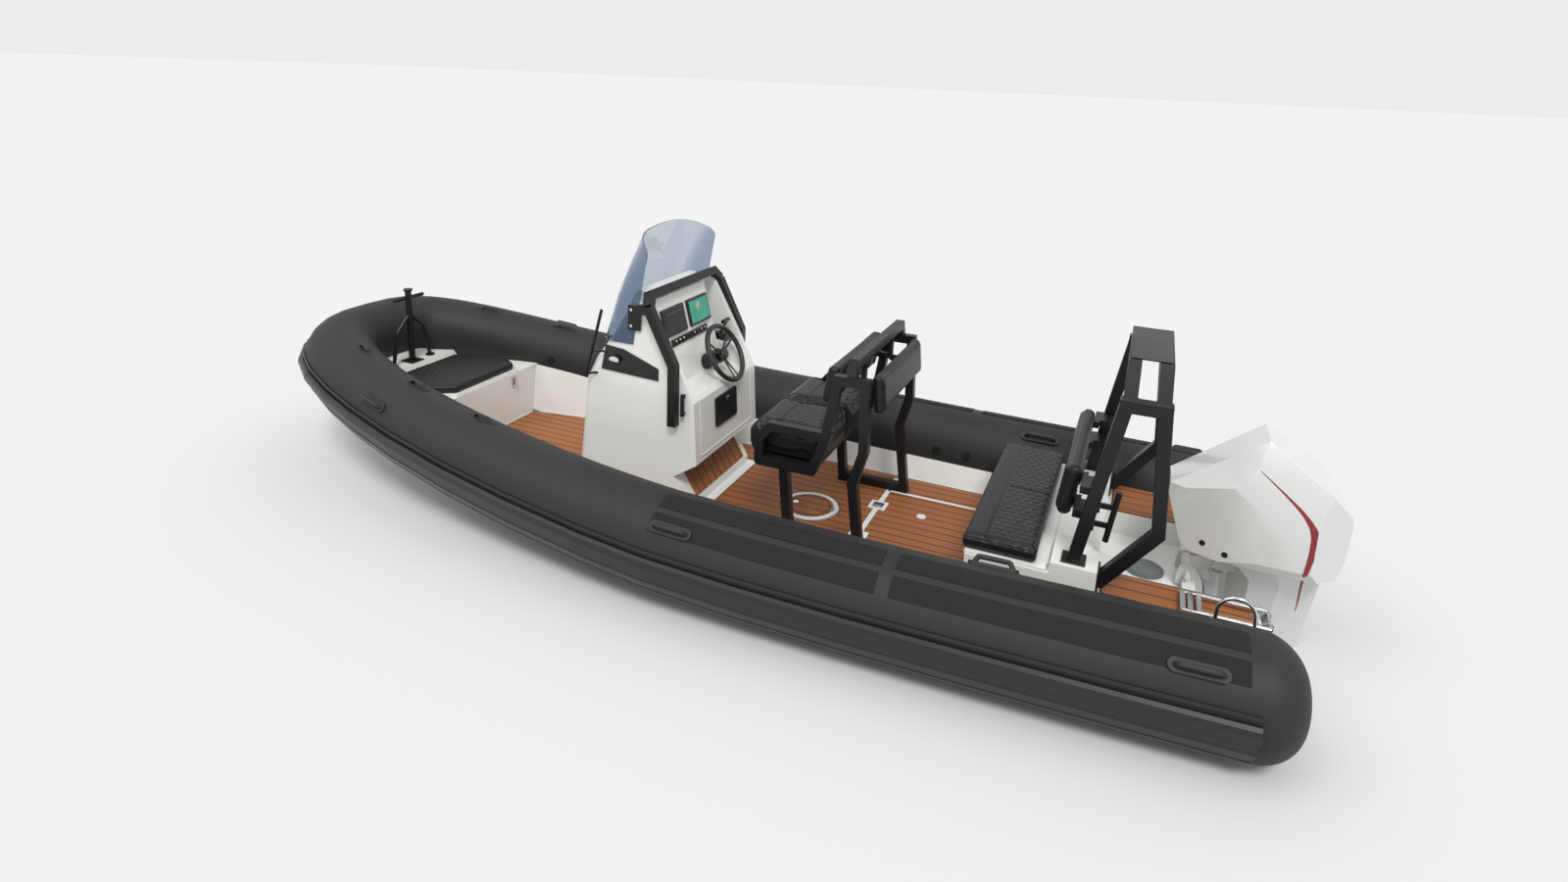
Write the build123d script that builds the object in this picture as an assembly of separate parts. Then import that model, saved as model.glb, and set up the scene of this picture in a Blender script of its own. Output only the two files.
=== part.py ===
"""Rigid inflatable boat of 6.1 m with a console, helm seat, stern bench, arch and outboard.

Frame: millimetres, +X to the bow, +Y to port, +Z up.  The origin is on the centreline at the
waterline, below the aft face of the transom.
"""
from build123d import *
import os
from math import atan2, cos, degrees, hypot, radians, sin, tan

# ---------------------------------------------------------------- hull and deck, main sizes
KEEL_Z = -400            # underside of the keel
SOLE_Z = 120             # top of the cockpit sole
SOLE_T = 40              # thickness of the sole moulding
CHINE_Y = 735            # half beam at the chine
CHINE_Z = -60            # chine height amidships
TRANSOM_T = 60           # thickness of the transom board
TRANSOM_TOP_Z = 262      # top of the transom where the outboard hangs
GAP = 0.3                # seat clearance between pieces that only rest on each other
FAR_X = 5700             # limits of the blocks that part the mouldings, clear of the boat
FAR_AFT_X = -400
FAR_Y = 1300
FAR_LOW_Z = -600
FAR_TOP_Z = 900

# ---------------------------------------------------------------- inflated collar
TUBE_END_X = -380        # aft tip of the tubes
BOW_X = 5496             # centre of the tube at the bow
BOW_START_X = 2491       # where the tubes leave the straight
TUBE_R = 258
BOW_TUBE_R = 224
TAPER_START_X = 2120
TUBE_Y = 988             # half distance between tube centres
TOE_IN = 67              # how far the tube ends turn in at the stern
TUBE_Z = 272             # height of the tube centres aft
SHEER = 410              # rise of the tube centre at the bow
SHEER_START_X = 1120
SHEER_POWER = 2.38
BOW_LENGTH_POWER = 1.2   # superellipse powers of the bow in plan
BOW_WIDTH_POWER = 3.35
END_ROUND = 190          # rounding of the tube ends


def tube_radius(x):
    share = max(0.0, x - TAPER_START_X) / (BOW_X - TAPER_START_X)
    return TUBE_R - (TUBE_R - BOW_TUBE_R) * share


def tube_height(x):
    share = max(0.0, x - SHEER_START_X) / (BOW_X - SHEER_START_X)
    return TUBE_Z + SHEER * share ** SHEER_POWER


def side_point(x):
    """Centre of the port tube abaft the bow curve."""
    reach = (BOW_START_X - x) / (BOW_START_X - TUBE_END_X)
    return Vector(x, TUBE_Y - TOE_IN * reach ** 2, tube_height(x))


def bow_point(angle):
    """Centre of the bow tube; 0 is the port start, 90 the stem, 180 the starboard start."""
    a = radians(angle)
    x = BOW_START_X + (BOW_X - BOW_START_X) * abs(sin(a)) ** (2 / BOW_LENGTH_POWER)
    y = TUBE_Y * abs(cos(a)) ** (2 / BOW_WIDTH_POWER)
    return Vector(x, y if angle <= 90 else -y, tube_height(x))


def stations(points, first_dir=None, last_dir=None):
    """Section planes along a run of tube centres: x_dir points outboard, z_dir along the tube."""
    planes = []
    for i, point in enumerate(points):
        before = points[max(i - 1, 0)]
        after = points[min(i + 1, len(points) - 1)]
        along = (after - before).normalized()
        if i == 0 and first_dir is not None:
            along = first_dir
        if i == len(points) - 1 and last_dir is not None:
            along = last_dir
        outboard = along.cross(Vector(0, 0, 1)).normalized() * -1
        planes.append(Plane(origin=point, x_dir=outboard, z_dir=along))
    return planes


SIDE_XS = (TUBE_END_X, 300, 900, 1450, 2000, BOW_START_X)
BOW_ANGLES = (0, 16, 28, 38, 47, 55, 62, 69, 75, 81, 86, 90)
SLOPE = (tube_height(BOW_START_X + 1) - tube_height(BOW_START_X - 1)) / 2
JOIN_DIR = Vector(1, 0, SLOPE).normalized()
JOIN_DIR_BACK = Vector(-1, 0, -SLOPE).normalized()
FIRST_SPAN = (side_point(SIDE_XS[1]) - side_point(SIDE_XS[0])).normalized()
SIDE_PLANES = stations([side_point(x) for x in SIDE_XS], FIRST_SPAN, JOIN_DIR)
BOW_PLANES = stations(
    [bow_point(a) for a in BOW_ANGLES] + [bow_point(180 - a) for a in reversed(BOW_ANGLES[:-1])],
    JOIN_DIR, JOIN_DIR_BACK)


def mirrored(shape):
    """The starboard twin of a port shape."""
    return mirror(shape, about=Plane.XZ)


def block(x0, x1, y0, y1, z0, z1):
    """A box between two corners."""
    return Pos((x0 + x1) / 2, (y0 + y1) / 2, (z0 + z1) / 2) * Box(x1 - x0, y1 - y0, z1 - z0)


def rod(start, end, radius):
    """A round bar between two points."""
    start, end = Vector(start), Vector(end)
    run = end - start
    plane = Plane(origin=start, z_dir=run.normalized())
    return extrude(plane * Circle(radius), run.length)


def side_plate(points, y0, y1):
    """A plate cut to an outline of (x, z) points and standing between two y planes."""
    face = Plane.XZ * make_face(Polyline(*points, close=True))
    return Pos(0, y1, 0) * extrude(face, y1 - y0)


def plan_plate(points, z0, z1):
    """A plate cut to an outline of (x, y) points and lying between two heights."""
    return Pos(0, 0, z0) * extrude(make_face(Polyline(*points, close=True)), z1 - z0)


def square_tube(points, size):
    """A square tube along a run of points, mitred at the bends."""
    path = Polyline(*points)
    start = Vector(points[0])
    along = (Vector(points[1]) - start).normalized()
    across = Vector(0, 1, 0) if abs(along.Y) < 0.7 else Vector(1, 0, 0)
    plane = Plane(origin=start, x_dir=across - along * across.dot(along), z_dir=along)
    return sweep(plane * Rectangle(size, size), path=path, transition=Transition.RIGHT)


def round_tube(points, radius, bend):
    """A round bar along straight runs joined by arcs of one bend radius."""
    path = FilletPolyline(*points, radius=bend)
    along = (Vector(points[1]) - Vector(points[0])).normalized()
    return sweep(Plane(origin=points[0], z_dir=along) * Circle(radius), path=path)


def capsule(length, width, thick):
    """A flat pad with round ends along X, lying on z = 0."""
    return extrude(SlotOverall(length, width), thick)


def ruled(planes, section):
    """A ruled skin through one section on each plane."""
    return loft([plane * section(plane) for plane in planes], ruled=True)


# ---------------------------------------------------------------- collar chambers
def collar_side():
    end_plane, first_plane = SIDE_PLANES[0], SIDE_PLANES[1]
    length = (first_plane.origin - end_plane.origin).length
    aft = extrude(end_plane * Circle(TUBE_R), length)
    aft = fillet(aft.edges().sort_by(Axis.X)[0], END_ROUND)
    planes = [Plane(origin=first_plane.origin, x_dir=end_plane.x_dir, z_dir=end_plane.z_dir)]
    planes += SIDE_PLANES[2:]
    run = ruled(planes, lambda plane: Circle(tube_radius(plane.origin.X)))
    return aft + run


def collar_bow():
    return ruled(BOW_PLANES, lambda plane: Circle(tube_radius(plane.origin.X)))


# ---------------------------------------------------------------- rubbing strake
STRAKE_END_X = -185
STRAKE_PROFILE = (       # angle above the outboard level in degrees, height off the tube
    (17, GAP), (17, 13), (14, 14), (13.2, 5), (11, 5), (10.2, 25), (7, 34), (1, 37), (-4, 33),
    (-6, 14), (-16, 13), (-17, 8), (-20, 8), (-21, 13), (-31, 12), (-32, 7), (-35, 7),
    (-36, 12), (-46, 9), (-46, GAP))


def strake_section(plane):
    radius = tube_radius(plane.origin.X)

    def at(angle, height):
        a = radians(angle)
        return ((radius + height) * cos(a), (radius + height) * sin(a))
    outline = Polyline(*[at(*p) for p in STRAKE_PROFILE])
    low, high = STRAKE_PROFILE[-1][0], STRAKE_PROFILE[0][0]
    back = ThreePointArc(at(low, GAP), at((low + high) / 2, GAP), at(high, GAP))
    return make_face(outline + back)


def strake_side():
    tip = SIDE_PLANES[0]
    start = tip.origin + FIRST_SPAN * (STRAKE_END_X - TUBE_END_X)
    first = Plane(origin=start, x_dir=tip.x_dir, z_dir=tip.z_dir)
    second = Plane(origin=SIDE_PLANES[1].origin, x_dir=first.x_dir, z_dir=first.z_dir)
    return ruled([first, second] + SIDE_PLANES[2:], strake_section)


def strake_bow():
    return ruled(BOW_PLANES, strake_section)


# ---------------------------------------------------------------- wear pads on the tubes
PAD_T = 3
PAD_ROWS = ((38, 60), (68, 92))          # start and end angle of each row
PAD_RUNS = ((-138, 1282), (1346, 2490))  # start and end x of each length


def on_side(x):
    """Section plane of the port tube at station x."""
    for i in range(len(SIDE_XS) - 1):
        if x <= SIDE_XS[i + 1]:
            break
    a, b = SIDE_PLANES[i], SIDE_PLANES[i + 1]
    share = (x - a.origin.X) / (b.origin.X - a.origin.X)
    origin = a.origin + (b.origin - a.origin) * share
    if i == 0:
        return Plane(origin=origin, x_dir=a.x_dir, z_dir=a.z_dir)
    x_dir = a.x_dir + (b.x_dir - a.x_dir) * share
    z_dir = (b.origin - a.origin).normalized()
    return Plane(origin=origin, x_dir=x_dir - z_dir * x_dir.dot(z_dir), z_dir=z_dir)


def wear_pads():
    pads = []
    for low, high in PAD_ROWS:
        for start, end in PAD_RUNS:
            xs = [start] + [x for x in SIDE_XS if start < x < end] + [end]

            def section(plane):
                inner = tube_radius(plane.origin.X) + GAP
                mid = (low + high) / 2

                def at(angle, radius):
                    return (radius * cos(radians(angle)), radius * sin(radians(angle)))
                lower = ThreePointArc(*[at(a, inner) for a in (low, mid, high)])
                upper = ThreePointArc(*[at(a, inner + PAD_T) for a in (high, mid, low)])
                left = Line(at(high, inner), at(high, inner + PAD_T))
                right = Line(at(low, inner + PAD_T), at(low, inner))
                return make_face(lower + left + upper + right)
            pads.append(ruled([on_side(x) for x in xs], section))
    return Compound(pads)


# ---------------------------------------------------------------- hull and inner mouldings
PLATFORM_X = -250        # aft end of the stern platforms, beyond the transom
PLATFORM_Z = 150         # underside of the platforms
STERN_DECK_Z = 338       # top of the stern platforms
WELL_Y = 335             # half width of the splash well
WELL_FLOOR_Z = 212
BULKHEAD_X = (452, 660)  # raised moulding that carries the arch
BULKHEAD_Z = 480
BENCH_X = (660, 1052)    # bench locker
BENCH_Z = 424            # rim of the bench locker
BENCH_Y = 640            # half length of the bench
LOCKER_X = 4470          # aft face of the bow locker
LOCKER_TOP_Z = 478
COAMING_DROP = 22        # coaming top below the tube's middle
COCKPIT_END_X = 4470
HULL_STATIONS = (        # x, keel z, chine y, chine z
    (PLATFORM_X, KEEL_Z, CHINE_Y, CHINE_Z),
    (0, KEEL_Z, CHINE_Y, CHINE_Z),
    (1200, KEEL_Z, CHINE_Y + 5, CHINE_Z + 2),
    (2400, KEEL_Z, CHINE_Y, CHINE_Z + 15),
    (3300, KEEL_Z + 5, CHINE_Y - 45, CHINE_Z + 65),
    (4050, KEEL_Z + 50, CHINE_Y - 145, CHINE_Z + 145),
    (4650, KEEL_Z + 170, CHINE_Y - 315, CHINE_Z + 245),
    (5060, KEEL_Z + 420, CHINE_Y - 530, CHINE_Z + 370),
    (5290, KEEL_Z + 650, 80, 400),
    (5430, 440, 20, 470),
)


def tube_y(x):
    """Half distance between the tube centres at station x."""
    if x <= BOW_START_X:
        return side_point(x).Y
    share = (x - BOW_START_X) / (BOW_X - BOW_START_X)
    return TUBE_Y * (1 - share ** BOW_LENGTH_POWER) ** (1 / BOW_WIDTH_POWER)


def symmetric(points):
    """A closed face from half an outline of (y, z) points, first and last on the centreline."""
    other = [(-y, z) for y, z in reversed(points) if y > 0]
    return make_face(Polyline(*points, *other, close=True))


def envelope():
    """Everything inside the tubes, keel to upper deck, before it is parted into mouldings."""
    faces = []
    for x, keel, chine_y, chine_z in HULL_STATIONS:
        radius, middle = tube_radius(x), tube_height(x)
        inside = max(tube_y(x) - 0.34 * radius, chine_y + 4)
        half = [(0, keel), (chine_y, chine_z), (inside, middle - 0.72 * radius),
                (inside, middle + 0.85 * radius), (0, middle + 0.85 * radius)]
        plane = Plane(origin=(x, 0, 0), x_dir=(0, 1, 0), z_dir=(1, 0, 0))
        faces.append(plane * symmetric(half))
    return loft(faces, ruled=True)


def parting_block():
    """The space below the hull's parting line."""
    low = SOLE_Z - SOLE_T
    line = [(0, low), (LOCKER_X, low), (4720, 230), (5060, 430), (5300, 500), (FAR_X, 500),
            (FAR_X, FAR_LOW_Z), (0, FAR_LOW_Z)]
    return side_plate(line, -FAR_Y, FAR_Y)


def inner_y(x):
    """Half width between the tubes' inner faces at station x."""
    at = x
    for _ in range(40):
        slope = (tube_y(min(at + 1, BOW_X)) - tube_y(at - 1)) / 2
        tilt = atan2(-slope, 1)
        at = min(x + tube_radius(at) * sin(tilt), BOW_X - 2)
    return tube_y(at) - tube_radius(at) * cos(tilt)


SOLE_INSET = 60          # from the tube's inner face to the foot of the coaming
COAMING_INSET = 12       # and to the top of the coaming
SOLE_XS = (BENCH_X[1], 2000, BOW_START_X, 3200, 3700, 4100, LOCKER_X)
FOREDECK_Z = 527
FOREDECK = ((5091, LOCKER_TOP_Z), (5098, FOREDECK_Z), (5230, FOREDECK_Z), (5330, 556))


def coaming_z(x):
    return tube_height(x) - COAMING_DROP


def deck_line():
    """Outline of everything that stays below the deck tops, from the side."""
    line = [(PLATFORM_X, STERN_DECK_Z), (BULKHEAD_X[0], STERN_DECK_Z), (BULKHEAD_X[0], BULKHEAD_Z),
            (BULKHEAD_X[1], BULKHEAD_Z), (BULKHEAD_X[1], BENCH_Z), (BENCH_X[1], BENCH_Z)]
    line += [(x, coaming_z(x)) for x in SOLE_XS]
    line += [(LOCKER_X, LOCKER_TOP_Z)] + list(FOREDECK)
    line += [(FAR_X, 556), (FAR_X, FAR_LOW_Z), (PLATFORM_X, FAR_LOW_Z)]
    return side_plate(line, -FAR_Y, FAR_Y)


def cockpit_space():
    """The open cockpit between the coamings, above the sole."""
    faces = []
    for x in SOLE_XS:
        edge, rim = inner_y(x), coaming_z(x)
        half = [(0, SOLE_Z), (edge - SOLE_INSET, SOLE_Z), (edge - COAMING_INSET, rim),
                (edge - COAMING_INSET, rim + 60), (0, rim + 60)]
        plane = Plane(origin=(x, 0, 0), x_dir=(0, 1, 0), z_dir=(1, 0, 0))
        faces.append(plane * symmetric(half))
    return loft(faces, ruled=True)


BENCH_WALL = 35
BOW_LOCKER = (LOCKER_X + 50, 4970, 245, 190)     # inside of the locker: x0, x1, half width, floor


def bow_locker_space():
    x0, x1, half, floor = BOW_LOCKER
    return block(x0, x1, -half, half, floor, LOCKER_TOP_Z + 40)


def mouldings(collar):
    """The hull, the sole moulding, the stern moulding and the bow moulding."""
    body = envelope()
    for chamber in collar:
        body -= chamber
    below = parting_block()
    hull = (body & below) - bow_locker_space()
    upper = (body - below) & deck_line()
    stern = upper & block(FAR_AFT_X, BENCH_X[1], -FAR_Y, FAR_Y, FAR_LOW_Z, FAR_TOP_Z)
    sole = (upper & block(BENCH_X[1], LOCKER_X, -FAR_Y, FAR_Y, FAR_LOW_Z, FAR_TOP_Z)) - cockpit_space()
    bow = (upper & block(LOCKER_X, FAR_X, -FAR_Y, FAR_Y, FAR_LOW_Z, FAR_TOP_Z)) - bow_locker_space()
    for low, high in ((-FAR_Y, -BENCH_Y), (BENCH_Y, FAR_Y)):
        stern -= block(BULKHEAD_X[0], BENCH_X[1], low, high, STERN_DECK_Z, FAR_TOP_Z)
    stern -= block(BULKHEAD_X[0], BULKHEAD_X[1], -WELL_Y, WELL_Y, BENCH_Z, FAR_TOP_Z)
    stern -= block(FAR_AFT_X, 0, -FAR_Y, FAR_Y, FAR_LOW_Z, PLATFORM_Z)
    stern -= block(FAR_AFT_X, 0, -WELL_Y, WELL_Y, FAR_LOW_Z, FAR_TOP_Z)
    stern -= block(-1, TRANSOM_T, -WELL_Y, WELL_Y, TRANSOM_TOP_Z, FAR_TOP_Z)
    stern -= block(TRANSOM_T, BULKHEAD_X[0], -WELL_Y, WELL_Y, WELL_FLOOR_Z, FAR_TOP_Z)
    stern -= block(BENCH_X[0] + BENCH_WALL, BENCH_X[1] - BENCH_WALL,
                   -BENCH_Y + BENCH_WALL, BENCH_Y - BENCH_WALL, SOLE_Z + 20, FAR_TOP_Z)
    return hull, sole, stern, bow


# ---------------------------------------------------------------- teak decking
TEAK_T = 6
TEAK_EDGE = 14           # white border left round each panel
CONSOLE_X = (2690, 3480)
CONSOLE_Y = 405          # half width of the console
HATCH_X = 2085
HATCH_RING_R = 170       # outside of the white hatch ring
HATCH_LID_R = 142
TEAK_AFT_X = 2625


def sole_edge(x, inset):
    return inner_y(x) - SOLE_INSET - inset


def teak_sole():
    top = SOLE_Z + TEAK_T
    xs = (BENCH_X[1] + TEAK_EDGE, 1500, 2000, TEAK_AFT_X)
    half = [(x, sole_edge(x, TEAK_EDGE)) for x in xs]
    aft = plan_plate(half + [(x, -y) for x, y in reversed(half)], SOLE_Z, top)
    aft -= Pos(HATCH_X, 0, SOLE_Z) * Cylinder(HATCH_RING_R + 6, 60)
    for x0, x1 in FRAME_FEET:
        for y in (-FRAME_Y, FRAME_Y):
            aft -= block(x0 - 3, x1 + 3, y - 30, y + 30, SOLE_Z - 1, top + 1)
    xs = (CONSOLE_X[1] + 60, 3800, 4100, LOCKER_X - TEAK_EDGE)
    half = [(x, sole_edge(x, TEAK_EDGE)) for x in xs]
    bow = plan_plate(half + [(x, -y) for x, y in reversed(half)], SOLE_Z, top)
    xs = (TEAK_AFT_X + TEAK_EDGE, 3000, CONSOLE_X[1] + 60 - TEAK_EDGE)
    outer = [(x, sole_edge(x, TEAK_EDGE)) for x in xs]
    side = plan_plate([(xs[-1], CONSOLE_Y + 30), (xs[0], CONSOLE_Y + 30)] + outer, SOLE_Z, top)
    return Compound([aft, bow, side, mirrored(side)])


def teak_stern():
    z0, z1 = STERN_DECK_Z, STERN_DECK_Z + TEAK_T
    aft_x, fore_x = PLATFORM_X + TEAK_EDGE, BULKHEAD_X[0] - 22
    reach = TUBE_R - 20  # of the tube at this height, from its centre line
    pad = plan_plate([(aft_x, WELL_Y + 10), (fore_x, WELL_Y + 10), (fore_x, tube_y(fore_x) - reach - 14),
                      (aft_x, tube_y(aft_x) - reach - 14)], z0, z1)
    ledge_x = (BULKHEAD_X[0] + 20, BENCH_X[1] - 12)
    ledge = plan_plate([(ledge_x[0], BENCH_Y + 10), (ledge_x[1], BENCH_Y + 10),
                        (ledge_x[1], tube_y(ledge_x[1]) - reach - 14),
                        (ledge_x[0], tube_y(ledge_x[0]) - reach - 14)], z0, z1)
    return Compound([pad, mirrored(pad), ledge, mirrored(ledge)])


def hatch_ring():
    ring = Cylinder(HATCH_RING_R, 12) - Cylinder(HATCH_LID_R + 1.5, 20)
    return Pos(HATCH_X, 0, SOLE_Z + 6) * ring


HATCH_HINGE = Vector(HATCH_X - HATCH_LID_R - 8, 0, SOLE_Z + 15)


def hatch_lid():
    lid = Pos(HATCH_X, 0, SOLE_Z + 7) * Cylinder(HATCH_LID_R - 4, 11)
    arm = block(HATCH_HINGE.X, HATCH_X - HATCH_LID_R + 12, -24, 24, SOLE_Z + 12.5, SOLE_Z + 17)
    knuckle = rod(HATCH_HINGE + Vector(0, -24, 0), HATCH_HINGE + Vector(0, 24, 0), 2.5)
    latch = Pos(HATCH_X + 90, 0, SOLE_Z + 14) * Cylinder(17, 4)
    return lid + arm + knuckle + latch


# ---------------------------------------------------------------- steering console
DASH_Y = 372             # half width of the dash between the cheeks
POD_STARBOARD_Y = -275   # starboard side of the display pod
CONSOLE_SIDE = (
    (3480, 120), (3400, 840), (3330, 975), (3235, 1100), (3090, 1335), (2960, 1345), (2770, 1010),
    (2662, 800), (2640, 430), (2790, 330), (2690, 165), (2690, 120))
CONSOLE_ROUND = 70       # of the upright corners forward
CONSOLE_HOOD = ((3006, 1330), (3012, 1376), (3030, 1398), (3076, 1398), (3124, 1310), (3070, 1310))
CONSOLE_HOOD_Y = 330
DASH_TOP = Vector(2988, 0, 1345)
DASH_KNEE = Vector(2893, 0, 1045)
DASH_FOOT = Vector(2835, 0, 846)
GLOVEBOX = (-115, 155, 575, 755)                 # y0, y1, z0, z1 of the door
AFT_FACE = ((2640, 430), (2662, 800))


def aft_face_x(z):
    (x0, z0), (x1, z1) = AFT_FACE
    return x0 + (x1 - x0) * (z - z0) / (z1 - z0)


def console():
    shell = side_plate([(x, z + GAP if z == 120 else z) for x, z in CONSOLE_SIDE],
                       -CONSOLE_Y, CONSOLE_Y)
    corners = shell.edges().filter_by(lambda e: abs(abs(e.center().Y) - CONSOLE_Y) < 1
                                      and e.center().X > 3150)
    shell = fillet(corners, CONSOLE_ROUND)
    dash = side_plate([(2500, 812), (DASH_FOOT.X, DASH_FOOT.Z), (DASH_KNEE.X, DASH_KNEE.Z),
                       (DASH_TOP.X, DASH_TOP.Z + 60), (2500, 1500)], POD_STARBOARD_Y, DASH_Y)
    shelf = side_plate([(2500, 812), (2700, 880), (2770, 955), (3060, 985), (3110, 1500),
                        (2500, 1500)], -DASH_Y, POD_STARBOARD_Y + 1)
    y0, y1, z0, z1 = GLOVEBOX
    box = block(2600, 2880, y0 + 12, y1 - 12, z0 + 12, z1 - 12)
    hood = side_plate(CONSOLE_HOOD, POD_STARBOARD_Y, CONSOLE_HOOD_Y)
    hood = fillet(hood.edges().filter_by(lambda e: e.center().Z > 1380), 12)
    return shell - dash - shelf - box + hood


DOOR_T = 12
DOOR_BARREL_R = 4


def glovebox_door():
    """Flush door hinged along its lower edge."""
    y0, y1, z0, z1 = GLOVEBOX
    lean = atan2(aft_face_x(z1) - aft_face_x(z0), z1 - z0)
    wide, tall = y1 - y0, (z1 - z0) / cos(lean)
    panel = Box(DOOR_T, wide, tall)
    panel = fillet(panel.edges().filter_by(Axis.X), 14)
    panel += Pos(DOOR_T / 2 - DOOR_BARREL_R, 0, -tall / 2 - 2) * Rot(90, 0, 0) * Cylinder(
        DOOR_BARREL_R, wide - 40)
    off = (DOOR_T / 2 + GAP) / cos(lean)
    centre = Vector(aft_face_x((z0 + z1) / 2) - off, (y0 + y1) / 2, (z0 + z1) / 2)
    return Pos(*centre) * Rot(0, degrees(lean), 0) * panel


def displays():
    lean = degrees(atan2(DASH_TOP.X - DASH_KNEE.X, DASH_TOP.Z + 60 - DASH_KNEE.Z))
    screens = []
    for y in (175, -120):
        box = Pos(-9, 0, 0) * Box(18, 250, 165)
        z = 1196
        x = DASH_KNEE.X + (z - DASH_KNEE.Z) * tan(radians(lean))
        screens.append(Pos(x, y, z) * Rot(0, lean, 0) * box)
    return Compound(screens)


def switch_panel():
    lean = degrees(atan2(DASH_TOP.X - DASH_KNEE.X, DASH_TOP.Z + 60 - DASH_KNEE.Z))
    z = 1075
    x = DASH_KNEE.X + (z - DASH_KNEE.Z) * tan(radians(lean))
    return Pos(x, 30, z) * Rot(0, lean, 0) * Pos(-5, 0, 0) * Box(10, 430, 42)


# ---------------------------------------------------------------- steering
WHEEL_CENTRE = Vector(2709, -75, 965)
WHEEL_TILT = 30          # of the shaft above level
WHEEL_R = 172            # to the middle of the rim
RIM_R = 16
SHAFT_DIR = Vector(-cos(radians(WHEEL_TILT)), 0, sin(radians(WHEEL_TILT)))
PUMP_R = 46


def wheel_plane(offset):
    """Plane across the steering shaft; positive offsets are towards the helmsman."""
    return Plane(origin=WHEEL_CENTRE + SHAFT_DIR * offset, x_dir=(0, 1, 0), z_dir=SHAFT_DIR)


def steering_wheel():
    outline = Pos(WHEEL_R, 0) * RegularPolygon(RIM_R, 12)
    wheel = wheel_plane(0).location * revolve(Plane.XZ * outline, Axis.Z, 360)
    wheel += extrude(wheel_plane(-38) * Circle(34), 40)
    for third in range(3):
        for split in (-9, 9):
            turn = radians(90 + 120 * third + split)
            inner = wheel_plane(-20).from_local_coords(Vector(24 * cos(turn), 24 * sin(turn), 0))
            reach = WHEEL_R - 4
            outer = wheel_plane(0).from_local_coords(Vector(reach * cos(turn), reach * sin(turn), 0))
            wheel += rod(inner, outer, 6)
    shaft = extrude(wheel_plane(-70) * Circle(9), 40)
    return wheel + shaft


def helm_pump():
    start = -210
    body = extrude(wheel_plane(start) * Circle(PUMP_R), -44 - start)
    body -= extrude(wheel_plane(-75) * Circle(9.5), 60)
    keep = side_plate([(2400, 700), (DASH_FOOT.X, DASH_FOOT.Z), (DASH_KNEE.X, DASH_KNEE.Z),
                       (DASH_TOP.X, DASH_TOP.Z), (2400, 1345)], -500, 500)
    return body & keep


def throttle():
    base = block(2810, 2950, -345, -295, 963, 1010)
    base -= side_plate([(2600, 940), (2770, 955), (3060, 985), (3060, 900), (2600, 900)], -400, -200)
    lever = rod((2870, -320, 1005), (2820, -320, 1100), 8)
    grip = rod((2820, -330, 1100), (2820, -250, 1100), 13)
    return base + lever + grip


# ---------------------------------------------------------------- windscreen and console rail
SCREEN_T = 6
SCREEN_FOOT_Z = 1092
SCREEN_TOP_Z = 1745
SCREEN_FOOT_X = 3292                     # front of the pane at the foot and at the top
SCREEN_TOP_X = 3078
SCREEN_HALF = CONSOLE_Y + GAP + SCREEN_T
SCREEN_CORNER = 110
SCREEN_SIDE = (
    (3057, SCREEN_FOOT_Z), (2967, 1612), (3000, 1700), (3052, SCREEN_TOP_Z),
    (3400, SCREEN_TOP_Z), (3400, SCREEN_FOOT_Z))


def windscreen():
    def ring(front, half, z):
        centre = (front - SCREEN_CORNER, half - SCREEN_CORNER)
        corner = [Vector(centre[0] + SCREEN_CORNER * cos(radians(a)),
                         centre[1] + SCREEN_CORNER * sin(radians(a)), z) for a in range(0, 91, 15)]
        port = [Vector(2400, half, z)] + list(reversed(corner))
        return port + [Vector(p.X, -p.Y, p.Z) for p in reversed(port)]
    foot = ring(SCREEN_FOOT_X, SCREEN_HALF, SCREEN_FOOT_Z)
    top = ring(SCREEN_TOP_X, SCREEN_HALF, SCREEN_TOP_Z)
    screen = None
    for i in range(len(foot) - 1):
        pane = make_face(Polyline(foot[i], foot[i + 1], top[i + 1], top[i], close=True))
        inward = (foot[i + 1] - foot[i]).cross(top[i] - foot[i]).normalized() * SCREEN_T
        if inward.dot(Vector(2900, 0, SCREEN_FOOT_Z) - foot[i]) < 0:
            inward = inward * -1
        pane = extrude(pane, SCREEN_T, dir=inward.normalized())
        screen = pane if screen is None else screen + pane
    return screen & side_plate(SCREEN_SIDE, -600, 600)


RAIL = 50                # square tube of the console rail
RAIL_Y = CONSOLE_Y + GAP + RAIL / 2
RAIL_LEG = ((2780, 660), (2780, 1015), (2942, 1332))
RAIL_TOP = ((2942, RAIL_Y, 1332), (2964, 380, 1388))
RAIL_ARM_X = 3002


def console_rail():
    legs = []
    for y in (RAIL_Y, -RAIL_Y):
        legs.append(square_tube([(x, y, z) for x, z in RAIL_LEG], RAIL))
        tip = RAIL_LEG[-1]
        legs.append(block(tip[0] - 10, RAIL_ARM_X, y - RAIL / 2, y + RAIL / 2, tip[1] - 44, tip[1] + 6))
    (x0, y0, z0), (x1, y1, z1) = RAIL_TOP
    rail = square_tube([(x0, y0, z0), (x1, y1, z1), (x1, -y1, z1), (x0, -y0, z0)], RAIL)
    for leg in legs:
        rail += leg
    return rail


def screen_brackets():
    """Plates that join the rail's arms to the side panes, bolted outside the glass."""
    plates = []
    for side in (1, -1):
        y = side * (SCREEN_HALF + GAP + 4)
        plates.append(block(RAIL_ARM_X + GAP, 3085, y - 4, y + 4, 1180, 1325))
    return Compound(plates)


# ---------------------------------------------------------------- console trim
SIDE_PANEL_T = 7


def side_panel():
    outline = [(3240, 1066), (3205, 1062), (3120, 1054), (2890, 972), (2890, 900), (3272, 914)]
    y = CONSOLE_Y
    return side_plate(outline, y, y + SIDE_PANEL_T)


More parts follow.
